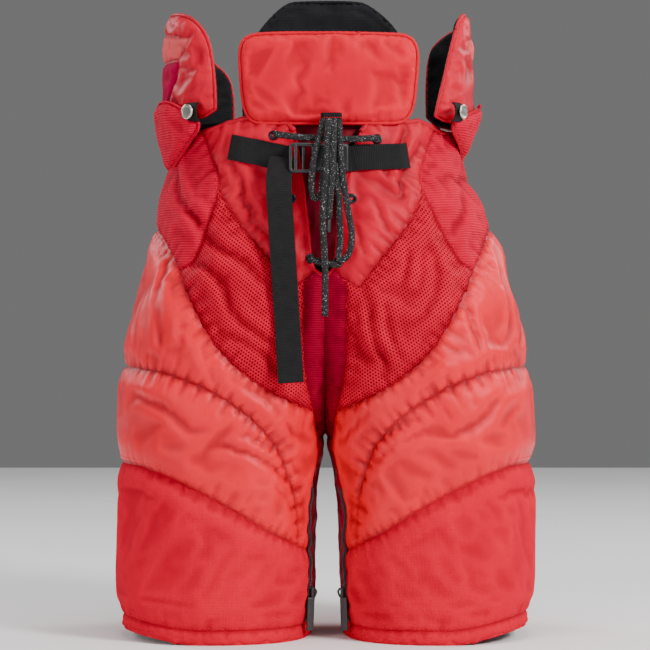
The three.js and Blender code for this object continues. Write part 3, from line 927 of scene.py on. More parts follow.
def panel_of_faces(verts, faces, walls):
    """Panel number of each face, from the regions that the panels' seeds lie in."""
    region = flood_regions(faces, walls)
    centres = verts[faces].mean(axis=1)

    def region_at(place):
        return region[np.argmin(np.linalg.norm(centres - place, axis=1))]

    found = [region_at(seed_in_domain(seed)) for _, seed in PANELS.values()]
    if len(set(found)) < len(PANELS):
        raise ValueError(f"two panels share a region: {dict(zip(PANELS, found))}")
    panel = np.full(len(faces), -1)
    for number, mine in enumerate(found):
        panel[region == mine] = number
    # The inner leg and the gusset wrap over the inner edge, so their other part is found too.
    for name, z in (("inner_leg", 100.0), ("gusset", 204.0)):
        place = (SURFACE.arc_at(np.pi, z) - 2.0, z)
        panel[region == region_at(place)] = list(PANELS).index(name)
    loose = panel < 0
    if loose.any():
        known = np.flatnonzero(~loose)
        which, _ = nearest(tree_of(centres[known]), centres[loose])
        panel[loose] = panel[known[which]]
    return panel


# ------------------------------------------------------------------ drape and wrinkles

def ripples(s, z, angle, length, seed, sharp=1.0, patch=90.0):
    """Cloth folds in mm, -1..1: running at an angle, broken into patches, softly peaked."""
    rng = np.random.default_rng(seed)
    c, si = math.cos(math.radians(angle)), math.sin(math.radians(angle))
    across = -s * si + z * c
    along = s * c + z * si
    total = np.zeros(len(s))
    for _ in range(4):
        wave = length * (0.7 + 0.8 * rng.random())
        drift = 0.35 * length * np.sin(along / (patch * (0.6 + rng.random())) + 6.3 * rng.random())
        phase = 2 * np.pi * (across + drift) / wave + 6.3 * rng.random()
        crest = 1.0 - 2.0 * np.abs(np.sin(phase / 2)) ** sharp
        mask = 0.5 + 0.5 * np.sin(along / (patch * (0.35 + 0.4 * rng.random())) + 6.3 * rng.random()
                                  + across / (patch * (0.8 + rng.random())))
        total += crest * mask
    return total / 2.4


# Panel: puff in mm, and folds as (angle from level, wavelength, height, sharpness).
DRAPE = {
    "yoke": (2.2, [(72, 60, 1.5, 0.9), (18, 48, 0.9, 0.9)]),
    "rib_panel": (3.0, [(15, 60, 1.3, 1.1)]),
    "mesh_panel": (3.6, [(-38, 64, 1.8, 0.9), (28, 90, 1.0, 1.0)]),
    "upper_thigh": (4.4, [(-28, 84, 1.6, 1.0), (66, 66, 1.3, 0.9)]),
    "mid_thigh": (5.2, [(-20, 84, 1.4, 1.0), (66, 60, 1.0, 0.9)]),
    "lower_thigh": (3.2, [(84, 120, 0.5, 1.2), (20, 150, 0.5, 1.3)]),
    "hem_band": (1.0, [(90, 60, 0.6, 1.2)]),
    "inner_leg": (1.5, [(80, 50, 1.2, 1.0)]),
    "back_leg": (4.0, [(86, 100, 1.6, 1.1), (8, 90, 1.4, 1.0)]),
    "seat": (4.5, [(10, 80, 2.0, 1.0), (70, 70, 1.2, 1.0)]),
    "gusset": (1.5, [(70, 30, 1.2, 1.0)]),
}


# Single folds pulled into the front cloth: ends as (distance from the middle, height), then
# depth and width, all in mm.
PULL_LINES = {
    "left": [
        ((100, 506), (84, 436), 2.6, 5.0), ((74, 512), (60, 466), 1.8, 4.0),
        ((92, 452), (50, 392), 2.4, 5.0), ((62, 436), (40, 372), 1.8, 4.0),
        ((112, 470), (66, 416), 1.8, 4.5), ((142, 428), (56, 350), 3.0, 6.0),
        ((128, 378), (54, 290), 2.8, 6.0), ((96, 310), (36, 262), 2.2, 5.0),
        ((150, 470), (128, 404), 2.2, 6.0), ((162, 388), (164, 284), 2.6, 6.0),
        ((140, 350), (146, 282), 2.2, 5.0), ((120, 310), (108, 250), 2.4, 5.0),
        ((84, 258), (26, 204), 2.6, 5.0), ((108, 204), (26, 148), 2.6, 5.0),
        ((76, 214), (36, 172), 2.0, 4.0), ((182, 350), (190, 284), 1.8, 6.0),
        ((190, 250), (120, 206), 2.0, 7.0), ((60, 160), (30, 108), 1.8, 4.0),
    ],
    "right": [
        ((88, 512), (66, 446), 2.4, 5.0), ((108, 500), (78, 430), 2.2, 5.0),
        ((60, 470), (96, 446), 1.8, 5.0), ((46, 440), (70, 396), 2.2, 4.5),
        ((30, 420), (36, 364), 1.8, 4.0), ((92, 406), (72, 348), 2.8, 5.0),
        ((40, 340), (60, 262), 3.0, 5.5), ((52, 350), (76, 274), 2.6, 5.0),
        ((118, 380), (90, 306), 2.4, 6.0), ((150, 452), (130, 396), 2.0, 6.0),
        ((172, 398), (184, 290), 2.6, 6.0), ((142, 348), (152, 280), 2.2, 5.0),
        ((114, 290), (72, 240), 2.4, 5.0), ((54, 232), (18, 200), 2.2, 4.0),
        ((60, 206), (30, 140), 2.4, 5.0), ((96, 214), (44, 170), 2.2, 5.0),
        ((186, 256), (118, 200), 2.0, 7.0), ((194, 350), (196, 284), 1.6, 6.0),
    ],
}


def pull_fold(s, z, start, end, depth, width):
    """A sharp groove between two soft ridges along one line, fading at its ends."""
    a, b = (np.array(flat_of(*place)) for place in (start, end))
    length = np.linalg.norm(b - a)
    along = ((s - a[0]) * (b - a)[0] + (z - a[1]) * (b - a)[1]) / length
    across = ((s - a[0]) * (b - a)[1] - (z - a[1]) * (b - a)[0]) / length
    across = across + 3.0 * np.sin(along / 15.0 + start[0])
    ends = smoothstep(along / 14.0) * smoothstep((length - along) / 14.0)
    groove = np.exp(-(across / (0.62 * width)) ** 2)
    ridges = np.exp(-((np.abs(across) - 1.5 * width) / width) ** 2)
    return depth * (0.75 * ridges - groove) * ends


def flat_of(x, z):
    """Flat (s, z) of a place on the front, given by its distance from the middle and height."""
    return SURFACE.arc_at(SURFACE.turn_at_x(x, z), z), z


def drape_height(domain, panel_of_vert, gap, side):
    """Outward displacement in mm before the cloth simulation."""
    height = np.zeros(len(domain))
    s, z = domain[:, 0], domain[:, 1]
    for number, (name, (puff, folds)) in enumerate(DRAPE.items()):
        mine = panel_of_vert == list(PANELS).index(name)
        if not mine.any():
            continue
        lift = smoothstep(gap[mine] / 22.0)
        total = puff * lift
        for k, (angle, length, tall, sharp) in enumerate(folds):
            seed = RNG_SEED + 31 * number + 7 * k + (400 if side == "left" else 0)
            total = total + tall * ripples(s[mine], z[mine], angle, length, seed, sharp) * lift
        height[mine] = total
    for start, end, depth, width in PULL_LINES[side]:
        height += pull_fold(s, z, start, end, depth, width) * smoothstep(gap / 9.0)
    return height


def vertex_normals(points, faces):
    a, b, c = (points[faces[:, k]] for k in range(3))
    face_normals = np.cross(b - a, c - a)
    normals = np.zeros_like(points)
    for k in range(3):
        np.add.at(normals, faces[:, k], face_normals)
    length = np.linalg.norm(normals, axis=1)
    return normals / np.maximum(length, 1e-12)[:, None]


def simulate_cloth(obj, pinned, pressure, frames=22, shrink=-0.035, cap_in=0.0045, cap_out=0.0045,
                   bending=0.6):
    """Runs Blender's cloth on an object with some vertices pinned and keeps the result."""
    before = np.empty(len(obj.data.vertices) * 3)
    obj.data.vertices.foreach_get("co", before)
    before = before.reshape(-1, 3)
    group = obj.vertex_groups.new(name="pins")
    group.add([int(i) for i in pinned], 1.0, "REPLACE")
    modifier = obj.modifiers.new("cloth", "CLOTH")
    settings = modifier.settings
    settings.quality = 6
    settings.mass = 0.12
    settings.tension_stiffness = 18.0
    settings.compression_stiffness = 12.0
    settings.shear_stiffness = 6.0
    settings.bending_stiffness = bending
    settings.air_damping = 4.0
    settings.shrink_min = shrink
    settings.vertex_group_mass = "pins"
    settings.effector_weights.gravity = 0.0
    settings.use_pressure = True
    settings.uniform_pressure_force = pressure
    modifier.collision_settings.use_collision = False
    modifier.collision_settings.use_self_collision = False
    modifier.point_cache.frame_start = 1
    modifier.point_cache.frame_end = frames
    scene = bpy.context.scene
    for step in range(1, frames + 1):
        scene.frame_set(step)
    graph = bpy.context.evaluated_depsgraph_get()
    result = obj.evaluated_get(graph)
    after = np.empty(len(obj.data.vertices) * 3)
    result.data.vertices.foreach_get("co", after)
    after = after.reshape(-1, 3)
    obj.modifiers.remove(modifier)
    obj.vertex_groups.remove(group)
    scene.frame_set(1)
    move = after - before
    if not np.isfinite(move).all():
        return before
    length = np.linalg.norm(move, axis=1)
    normals = np.empty(len(obj.data.vertices) * 3)
    obj.data.vertices.foreach_get("normal", normals)
    outward = (move * normals.reshape(-1, 3)).sum(axis=1)
    cap = np.where(outward > 0, cap_out, cap_in)
    move *= (np.minimum(length, cap) / np.maximum(length, 1e-9))[:, None]
    obj.data.vertices.foreach_set("co", (before + move).ravel())
    obj.data.update()
    return before + move


def subdivided(obj):
    modifier = obj.modifiers.new("subdivide", "SUBSURF")
    modifier.levels = 1
    modifier.boundary_smooth = "PRESERVE_CORNERS"
    graph = bpy.context.evaluated_depsgraph_get()
    mesh = bpy.data.meshes.new_from_object(obj.evaluated_get(graph))
    obj.modifiers.remove(modifier)
    return mesh


def mesh_arrays(mesh):
    points = np.empty(len(mesh.vertices) * 3)
    mesh.vertices.foreach_get("co", points)
    normals = np.empty(len(mesh.vertices) * 3)
    mesh.vertices.foreach_get("normal", normals)
    quads = np.empty(len(mesh.loops), dtype=int)
    mesh.loops.foreach_get("vertex_index", quads)
    panel = np.empty(len(mesh.polygons), dtype=int)
    mesh.polygons.foreach_get("material_index", panel)
    return points.reshape(-1, 3), normals.reshape(-1, 3), quads.reshape(-1, 4), panel


def point_attribute(mesh, name):
    values = np.empty(len(mesh.vertices))
    mesh.attributes[name].data.foreach_get("value", values)
    return values


def fold_shade(points, normals, quads, depth=1.9, times=22):
    """0.5 on flat cloth, less in hollows and more on ridges, from the finished surface; the mask for the
    painted shade in the folds.
    """
    mean = points.copy()
    count = np.zeros(len(points))
    for k in range(4):
        np.add.at(count, quads[:, k], 2.0)
    for _ in range(times):
        total = np.zeros_like(mean)
        for k in range(4):
            np.add.at(total, quads[:, k], mean[quads[:, (k + 1) % 4]] + mean[quads[:, (k + 3) % 4]])
        mean = mean * 0.4 + total / np.maximum(count, 1.0)[:, None] * 0.6
    rise = ((points - mean) * normals).sum(axis=1) / MM
    return np.clip(0.5 + 0.5 * rise / depth, 0.0, 1.0)


class SideShell:
    """The finished outer cloth of one side, before it is split into panels."""

    def __init__(self, side):
        self.side = side
        self.sign = SIDES[side]
        self.outline = side_outline(side)
        self.seams = side_seams()
        runs = [self.outline[name] for name in
                ("waist_front", "waist_back", "back", "hem", "front", "fly")]
        domain, faces, walls = triangulate(runs, self.seams, PANEL_SPACING)
        panel = panel_of_faces(domain, faces, walls)
        self.base_domain, self.base_faces = domain, faces
        u = SURFACE.turn_of(domain[:, 0], domain[:, 1])
        self.base_u = u
        points = self.points_at(u, domain[:, 1], -SHELL_INSET)
        normals = vertex_normals(points, faces)
        centre = np.array([self.sign * 0.1, 0.0])
        if ((points[:, :2] - centre) * normals[:, :2]).sum() < 0:
            faces = faces[:, ::-1]
            self.base_faces = faces
            normals = -normals
        on_wall = np.zeros(len(domain), dtype=bool)
        on_wall[list({v for wall in walls for v in wall})] = True
        owner = np.full(len(domain), -1)
        for k in range(3):
            owner[faces[:, k]] = panel
        self.walls_tree, self.wall_along, self.wall_pull = self.dense_seams()
        _, gap = nearest(self.walls_tree, domain)
        gap[on_wall] = 0.0
        height = drape_height(domain, owner, gap, side)
        points = points + normals * (height * MM)[:, None]
        mesh = self.build_mesh(points, faces, domain, panel)
        obj = link(bpy.data.objects.new(f"{side}_shell_work", mesh))
        simulate_cloth(obj, np.flatnonzero(on_wall), 0.8, shrink=-0.022, bending=0.5)
        fine = subdivided(obj)
        bpy.data.objects.remove(obj)
        self.points, self.normals, self.quads, self.panel = mesh_arrays(fine)
        self.domain = np.stack([point_attribute(fine, "flat_s"), point_attribute(fine, "flat_z")], 1)
        bpy.data.meshes.remove(fine)
        self.add_fine_relief()
        self.tree = tree_of(self.domain)

    def points_at(self, u, z, outset=0.0):
        x, y = SURFACE.place(u, z, outset)
        drawn, _ = SURFACE.place(u, z)
        free = np.maximum(smoothstep(drawn / 30.0), smoothstep((206.0 - z) / 60.0))
        x = drawn + (x - drawn) * free  # the two halves meet at the middle
        outward = smoothstep((x - 20.0) / 130.0)
        x = x - np.interp(z, *SLUMP[self.side]) * outward
        inward = 1.0 - smoothstep((drawn - 5.0) / 110.0)
        x = x - np.interp(z, *INNER_SWELL[self.side]) * inward
        lift = HEM_LIFT[self.side] * smoothstep((x - 120.0) / 85.0)
        z = z + lift * smoothstep(1.0 - z / 110.0)
        return np.stack([self.sign * x, y, z], axis=1) * MM

    def build_mesh(self, points, faces, domain, panel):
        mesh = bpy.data.meshes.new(f"{self.side}_shell_work")
        mesh.from_pydata([tuple(p) for p in points], [], [tuple(int(i) for i in f) for f in faces])
        for name in PANELS:
            mesh.materials.append(LOOKS[PANELS[name][0]])
        mesh.polygons.foreach_set("material_index", panel.astype(int))
        for name, values in (("flat_s", domain[:, 0]), ("flat_z", domain[:, 1])):
            attribute = mesh.attributes.new(name, "FLOAT", "POINT")
            attribute.data.foreach_set("value", values)
        mesh.update()
        return mesh

    def dense_seams(self):
        points, along, pull = [], [], []
        for kind, run in self.seams + [("waist", self.outline["waist_front"]),
                                       ("waist", self.outline["waist_back"])]:
            fine = resampled(run, 1.0)
            points.append(fine)
            along.append(np.arange(len(fine)) * 1.0)
            pull.append(np.full(len(fine), PUCKER[kind]))
        return tree_of(np.vstack(points)), np.concatenate(along), np.concatenate(pull)

    def add_fine_relief(self):
        """Seam grooves and the small gathers beside them."""
        which, gap = nearest(self.walls_tree, self.domain)
        along, pull = self.wall_along[which], self.wall_pull[which]
        groove = -0.95 * np.exp(-(gap / 1.9) ** 2)
        swell = 0.4 * np.exp(-((gap - 6.5) / 3.5) ** 2)
        wobble = np.sin(along / 23.0 + 1.7) + np.sin(along / 41.0)
        gathers = np.sin(2 * np.pi * along / 13.0 + 2.2 * wobble)
        gathers = gathers + 0.5 * np.sin(2 * np.pi * along / 7.3 + 1.3 * wobble)
        fade = np.exp(-gap / 11.0) * (1.0 - np.exp(-(gap / 2.0) ** 2))
        away = smoothstep(np.abs(self.points[:, 0]) / (6.0 * MM))
        height = groove + swell + pull * 0.8 * gathers * fade * away
        self.points = self.points + self.normals * (height * MM)[:, None]
        self.fold = fold_shade(self.points, self.normals, self.quads)

    def sample(self, places, lift=0.0):
        """Surface points and normals at flat (s, z) places."""
        points, normals = [], []
        for s, z in places:
            found = self.tree.find_n((s, z, 0.0), 4)
            index = [f[1] for f in found]
            weight = np.array([1.0 / (f[2] + 0.05) for f in found])
            weight /= weight.sum()
            normal = (self.normals[index] * weight[:, None]).sum(axis=0)
            normal /= np.linalg.norm(normal)
            points.append((self.points[index] * weight[:, None]).sum(axis=0) + normal * lift)
            normals.append(normal)
        return np.array(points), np.array(normals)

    def panel_object(self, name):
        number = list(PANELS).index(name)
        quads = self.quads[self.panel == number]
        used = np.unique(quads)
        remap = np.full(len(self.points), -1)
        remap[used] = np.arange(len(used))
        quads = remap[quads]
        obj = mesh_object(f"{self.side}_{name}_cloth", self.points[used], quads.tolist(),
                          LOOKS[PANELS[name][0]])
        set_fold(obj.data, self.fold[used])
        set_uv(obj, self.domain[used] * MM)
        return obj

    def liner_object(self):
        """The black lining, one skin inside the outer cloth."""
        heights = self.base_domain[:, 1]
        depth = LINER_DEPTH + 4.5 * smoothstep((heights - 470.0) / 40.0)
        points = self.points_at(self.base_u, heights, -SHELL_INSET - depth)
        obj = mesh_object(f"{self.side}_inner_lining", points, self.base_faces[:, ::-1].tolist(),
                          LOOKS["lining"])
        set_uv(obj, self.base_domain * MM)
        return obj


def follow_leg(piece):
    """Cloth of one side: bakes its placement into the mesh and rides on no body, so it stays still."""
    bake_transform(piece)


SHELLS = {side: SideShell(side) for side in SIDES}


def add_shell_pieces():
    for side, shell in SHELLS.items():
        for name in PANELS:
            piece = shell.panel_object(name)
            follow_leg(piece)
            if name == "seat":
                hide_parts("seat_panel")
            elif name == "gusset":
                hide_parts("crotch_gusset")
            else:
                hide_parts(f"{side}_{name}")
        liner = shell.liner_object()
        follow_leg(liner)
        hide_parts("waist_liner", f"{side}_thigh_foam")


add_shell_pieces()


# ------------------------------------------------------------------ padded pieces

class Ring:
    """An upright wrap round one hip: (arc, height, outset) in mm, arc 0 at the outer side and
    negative towards the front."""

    def __init__(self, side, half_width, front, back, lean=0.0, foot=WAIST_Z):
        self.sign = SIDES[side]
        self.lean, self.foot = lean, foot
        turns = np.linspace(-np.pi / 2, np.pi / 2, 361)
        power = 2 / ROUNDNESS
        depth = np.where(turns < 0, front, back)
        self.x = half_width * np.abs(np.cos(turns)) ** power
        self.y = depth * np.sign(np.sin(turns)) * np.abs(np.sin(turns)) ** power
        arc = np.concatenate([[0.0], np.cumsum(np.hypot(np.diff(self.x), np.diff(self.y)))])
        self.arc = arc - arc[180]
        along = np.stack([np.gradient(self.x), np.gradient(self.y)])
        self.nx, self.ny = along[1], -along[0]
        length = np.hypot(self.nx, self.ny)
        self.nx, self.ny = self.nx / length, self.ny / length

    def front(self, x):
        return float(np.interp(x, self.x[:181], self.arc[:181]))

    def back(self, x):
        return float(np.interp(-x, -self.x[180:], self.arc[180:]))

    def place(self, s, z, d):
        x = np.interp(s, self.arc, self.x) + np.interp(s, self.arc, self.nx) * d
        y = np.interp(s, self.arc, self.y) + np.interp(s, self.arc, self.ny) * d
        x = x + self.lean * (z - self.foot)
        return np.stack([self.sign * x, y, z + 0 * x], axis=1) * MM


def rounded_outline(points, times=2):
    points = np.asarray(points, dtype=float)
    for _ in range(times):
        after = np.roll(points, -1, axis=0)
        points = np.stack([points * 0.75 + after * 0.25, points * 0.25 + after * 0.75], axis=1)
        points = points.reshape(-1, 2)
    return points


def close_mesh(front_faces, border, offset, count):
    """Back faces that share the border vertices; returns the faces and the back index."""
    index = np.arange(count) + offset
    index[border] = border
    return index[front_faces][:, ::-1], index


def gathers(along, gap, tall, fade):
    wobble = np.sin(along / 17.0 + 0.8) + np.sin(along / 31.0)
    wave = np.sin(2 * np.pi * along / 10.0 + 1.8 * wobble)
    wave = wave + 0.5 * np.sin(2 * np.pi * along / 5.7 + 1.1 * wobble)
    return tall * wave * np.exp(-gap / fade) * (1.0 - np.exp(-(gap / 1.6) ** 2))


class Pillow:
    """A stuffed, sewn pad: an outline on a surface, crowned on both faces."""

    def __init__(self, name, outline, place, looks, front=7.0, back=5.0, roll=20.0, seams=(),
                 spacing=4.4, pick=None, tall=1.1, pressure=1.5, folds=(), groove=1.4, swell=0.003):
        self.name = name
        self.place = place
        loop = np.asarray(outline)
        run = np.vstack([loop, loop[:1]])
        flat, faces, walls = triangulate([run], [("seam", seam) for seam in seams], spacing)
        edge_tree = tree_of(resampled(run, 1.0))
        _, gap = nearest(edge_tree, flat)
        border = np.flatnonzero(gap < 0.25)
        wall = np.array(sorted({v for pair in walls for v in pair}), dtype=int)
        seam_points = np.vstack([resampled(run, 1.0)] + [resampled(seam, 1.0) for seam in seams])
        seam_tree = tree_of(seam_points)
        _, seam_gap = nearest(seam_tree, flat)
        t = np.clip(gap / roll, 0.0, 1.0)
        crown = np.sqrt(np.maximum(0.0, 1.0 - (1.0 - t) ** 2))
        lift = front * crown
        for k, (angle, length, height) in enumerate(folds):
            lift = lift + height * ripples(flat[:, 0], flat[:, 1], angle, length, PAD_SEED + k) * smoothstep(
                seam_gap / 14.0)
        count = len(flat)
        outer = place(flat[:, 0], flat[:, 1], lift)
        inner = place(flat[:, 0], flat[:, 1], -back * crown)
        back_faces, _ = close_mesh(faces, border, count, count)
        points = np.vstack([outer, inner])
        every = np.vstack([faces, back_faces])
        used = np.unique(every)
        remap = np.full(2 * count, -1)
        remap[used] = np.arange(len(used))
        points, every = points[used], remap[every]
        centres = flat[faces].mean(axis=1)
        kinds = pick(centres) if pick else np.zeros(len(faces), dtype=int)
        kinds = np.concatenate([kinds, np.full(len(back_faces), len(looks) - 1)])
        if self.signed_volume(points, every) < 0:
            every = every[:, ::-1]
        mesh = bpy.data.meshes.new(name)
        mesh.from_pydata([tuple(p) for p in points], [], [tuple(int(i) for i in f) for f in every])
        for look in looks:
            mesh.materials.append(LOOKS[look])
        mesh.polygons.foreach_set("material_index", kinds.astype(int))
        flat_both = np.vstack([flat, flat])[used]
        is_front = (used < count).astype(float)
        for key, values in (("flat_s", flat_both[:, 0]), ("flat_z", flat_both[:, 1]),
                            ("front", is_front)):
            mesh.attributes.new(key, "FLOAT", "POINT").data.foreach_set("value", values)
        mesh.update()
        obj = link(bpy.data.objects.new(f"{name}_work", mesh))
        pinned = np.concatenate([remap[border], remap[wall]]) if len(wall) else remap[border]
        simulate_cloth(obj, np.unique(pinned), pressure, frames=16, cap_in=0.002,
                       cap_out=swell, shrink=-0.045, bending=0.4)
        fine = subdivided(obj)
        bpy.data.objects.remove(obj)
        points, normals, quads, kinds = mesh_arrays(fine)
        flat = np.stack([point_attribute(fine, "flat_s"), point_attribute(fine, "flat_z")], 1)
        facing = point_attribute(fine, "front")
        which, gap = nearest(seam_tree, flat)
        relief = gathers(which * 1.0, gap, tall, 9.0) - groove * np.exp(-(gap / 1.9) ** 2)
        points = points + normals * (relief * facing * MM)[:, None]
        bpy.data.meshes.remove(fine)
        self.piece = mesh_object(f"{name}_padding", points, quads.tolist())
        for look in looks:
            self.piece.data.materials.append(LOOKS[look])
        self.piece.data.polygons.foreach_set("material_index", kinds)
        set_fold(self.piece.data, fold_shade(points, normals, quads))
        uv = self.piece.data.uv_layers.new(name="UVMap")
        uv.data.foreach_set("uv", (flat[quads.ravel()] * MM).ravel())
        self.border = run

    @staticmethod
    def signed_volume(points, faces):
        a, b, c = (points[faces[:, k]] for k in range(3))
        return float((a * np.cross(b, c)).sum())

    def piping(self, radius, look):
        """A corded edge sewn round the outline, slightly pinched by its stitches."""
        loop = resampled(self.border, 1.6)[:-1]
        path = self.place(loop[:, 0], loop[:, 1], np.zeros(len(loop)))
        along = np.arange(len(loop)) * 1.6
        pinch = 1.0 + 0.07 * np.sin(2 * np.pi * along / 6.5) + 0.05 * np.sin(along / 9.0)
        return sweep(f"{self.name}_piping", path, oval(2 * radius * MM, 2 * radius * MM, 10),
                     LOOKS[look], closed=True, scale=pinch, up=(0.13, 0.31, 0.94))


def rounded_box(x0, x1, z0, z1, r, steps=5):
    corners = [(x1 - r, z0 + r, -90), (x1 - r, z1 - r, 0), (x0 + r, z1 - r, 90), (x0 + r, z0 + r, 180)]
    out = []
    for cx, cz, start in corners:
        for k in range(steps + 1):
            turn = math.radians(start + 90 * k / steps)
            out.append((cx + r * math.cos(turn), cz + r * math.sin(turn)))
    return np.array(out)


def belly_place(x, z, d):
    bow = 0.0011 * (x - 4.0) ** 2
    lean = 0.02 * (z - 513.0)
    return np.stack([x, -104.0 + bow + lean - d, z + 0 * x], axis=1) * MM


def make_belly_pad():
    outline = rounded_outline([
        (-72, 513), (-56, 511), (62, 511), (78, 513), (87, 526), (90, 556), (92, 584), (84, 598),
        (60, 599.5), (-54, 600), (-76, 598.5), (-84.5, 588), (-83, 556), (-80, 526)], 2)
    pad = Pillow("belly_pad", outline, belly_place, ["pad_nylon", "lining"], front=5.5, back=5.0,
                 roll=16.0, folds=[(80, 38, 0.7), (12, 50, 0.8), (60, 26, 0.4)], tall=0.35)
    edge = pad.piping(1.7, "pad_nylon")
    for piece in (pad.piece, edge):
        stand_in(piece, "belly_guard", "belly_pad")


def kidney_place(x, z, d):
    bow = -0.0022 * x ** 2
    return np.stack([x, 97.0 + bow + 0.02 * (z - 512.0) + d, z + 0 * x], axis=1) * MM


def make_kidney_pad():
    outline = rounded_outline([
        (-84, 513), (-86, 560), (-80, 600), (-68, 625), (-42, 652), (-26, 655), (28, 655), (45, 652),
        (75, 625), (83, 600), (87, 560), (84, 513)], 2)
    bars = [np.array([(x, 530), (x * 1.03, 575), (x * 0.9, 622)]) for x in (-42.0, 2.0, 46.0)]
    pad = Pillow("kidney_pad", outline, kidney_place, ["nylon", "lining"], front=8.0, back=7.0,
                 roll=24.0, seams=[resampled(bar, 3.0) for bar in bars], tall=0.8)
    edge = pad.piping(1.8, "lining")
    for piece in (pad.piece, edge):
        stand_in(piece, "kidney_guard", "kidney_pad")


def in_area(points, polygon):
    return inside_polygon(points, np.asarray(polygon, dtype=float))


def left_wing_outline(ring):
    f, b = ring.front, ring.back
    return [(f(108), 514), (f(109), 548), (f(112), 577), (f(117), 599), (f(129), 616), (f(144), 625),
            (f(158), 627), (-18, 625), (15, 616), (b(158), 606), (b(140), 600), (b(120), 590),
            (b(101), 574), (b(97), 550), (b(97), 514)]


def right_wing_outline(ring):
    f, b = ring.front, ring.back
    return [(f(108), 514), (f(112), 532), (f(118), 556), (f(124), 580), (f(130), 603), (f(135), 619),
            (f(140), 627), (f(147), 627), (-12, 622), (15, 618), (b(146), 618), (b(134), 619),
            (b(120), 610), (b(110), 598), (b(107), 560), (b(108), 514)]


def wing_patches(ring, shift):
    """The two contrasting patches on the outside of a wing, as areas of (arc, height)."""
    f = ring.front
    lower = (f(158), f(141), f(143), f(152))
    pink = [(lower[0] + shift, 609), (f(131) + shift, 598), (lower[1] + shift, 579), (24, 579),
            (24, 604)]
    magenta = [(24, 577), (lower[1] + shift, 577), (lower[2] + shift, 560), (lower[3] + shift, 534),
               (-8 + shift, 528), (24, 540)]
    return pink, magenta


def closed_run(points):
    points = np.asarray(points, dtype=float)
    return resampled(np.vstack([points, points[:1]]), 3.0)


def make_wing(side):
    right = side == "right"
    ring = Ring(side, 143.0 if right else 157.0, 100.0, 103.0, lean=-0.01)
    outline = rounded_outline(right_wing_outline(ring) if right else left_wing_outline(ring), 2)
    pink, magenta = wing_patches(ring, 12.0 if right else 0.0)

    def pick(centres):
        kinds = np.zeros(len(centres), dtype=int)
        kinds[in_area(centres, pink)] = 1
        kinds[in_area(centres, magenta)] = 2
        return kinds

    wing = Pillow(f"{side}_wing", outline, ring.place, ["yoke_nylon", "pink", "magenta", "lining"],
                  front=6.5, back=6.0, roll=22.0, seams=[closed_run(pink), closed_run(magenta)],
                  pick=pick, folds=[(70, 40, 1.4), (20, 34, 1.0)], groove=0.8, tall=0.35)
    edge = wing.piping(1.7, "yoke_nylon")
    for piece in (wing.piece, edge):
        stand_in(piece, f"{side}_side_wing", f"{side}_wing")


def make_hip_flap(side):
    """The stiff ribbed ear over the hip, which flares off the waist."""
    if side == "right":
        ring = Ring(side, 144.0, 109.0, 112.0, lean=0.38, foot=500.0)
    else:
        ring = Ring(side, 163.0, 109.0, 112.0, lean=0.20, foot=500.0)
    f = ring.front
    outline = rounded_outline([
        (f(119), 511), (f(130), 523), (f(146), 536), (f(158), 537), (-30, 534), (20, 531), (48, 520),
        (50, 488), (36, 470), (-25, 468), (f(161), 467), (f(150), 478), (f(136), 494)], 2)
    flap = Pillow(f"{side}_hip_flap", outline, ring.place, ["rib", "lining"], front=4.0, back=3.0,
                  roll=10.0, folds=[(60, 34, 1.0), (10, 50, 0.7)], tall=0.7)
    edge = flap.piping(1.7, "rib")
    for piece in (flap.piece, edge):
        stand_in(piece, "girdle", f"{side}_hip_flap")


make_belly_pad()
make_kidney_pad()
for wing_side in SIDES:
    make_wing(wing_side)
    make_hip_flap(wing_side)


# ------------------------------------------------------------------ edges and stitches

def smooth_path(points, times=3):
    for _ in range(times):
        points[1:-1] = points[:-2] * 0.25 + points[1:-1] * 0.5 + points[2:] * 0.25
    return points


def edge_roll(side, name, run, radius, look, node, lift=-0.6, puff=0.12, body=None):
    """A rolled, gathered edge along a run of the cloth."""
    shell = SHELLS[side]
    path, _ = shell.sample(resampled(run, 2.0), lift * MM)
    path = smooth_path(path)
    along = np.arange(len(path)) * 2.0
    scale = 1.0 + puff * np.sin(along / 3.1 + 1.3 * np.sin(along / 11.0)) + 0.08 * np.sin(along / 7.7)
    piece = sweep(f"{side}_{name}", path, oval(2 * radius * MM, 2 * radius * MM, 12), LOOKS[look],
                  scale=scale, up=(0.11, -0.93, 0.35))
    if body:
        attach(piece, body)
    else:
        follow_leg(piece)
    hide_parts(node)
    return piece


def hem_ring(side, z, outset):
    turns = np.linspace(-np.pi, np.pi, 380, endpoint=False)
    heights = np.full(len(turns), z)
    heights = heights + 0.9 * np.sin(turns * 17 + 2 * np.sin(turns * 3)) + 0.5 * np.sin(turns * 41)
    points = SHELLS[side].points_at(turns, np.full(len(turns), 4.0), outset)
    points[:, 2] += (heights - 4.0) * MM
    return points


def make_hem_roll(side):
    path = hem_ring(side, 4.4, -SHELL_INSET - LINER_DEPTH / 2)
    turns = np.linspace(0, 2 * np.pi, len(path), endpoint=False)
    scale = 1.0 + 0.07 * np.sin(turns * 37 + np.sin(turns * 5)) + 0.05 * np.sin(turns * 61)
    roll = sweep(f"{side}_hem_roll", path, oval((LINER_DEPTH + 4.4) * MM, 8.4 * MM, 14), LOOKS["cordura"],
                 closed=True, scale=scale, up=(0.0, 0.0, 1.0))
    stand_in(roll, f"{side}_leg", f"{side}_hem_band")


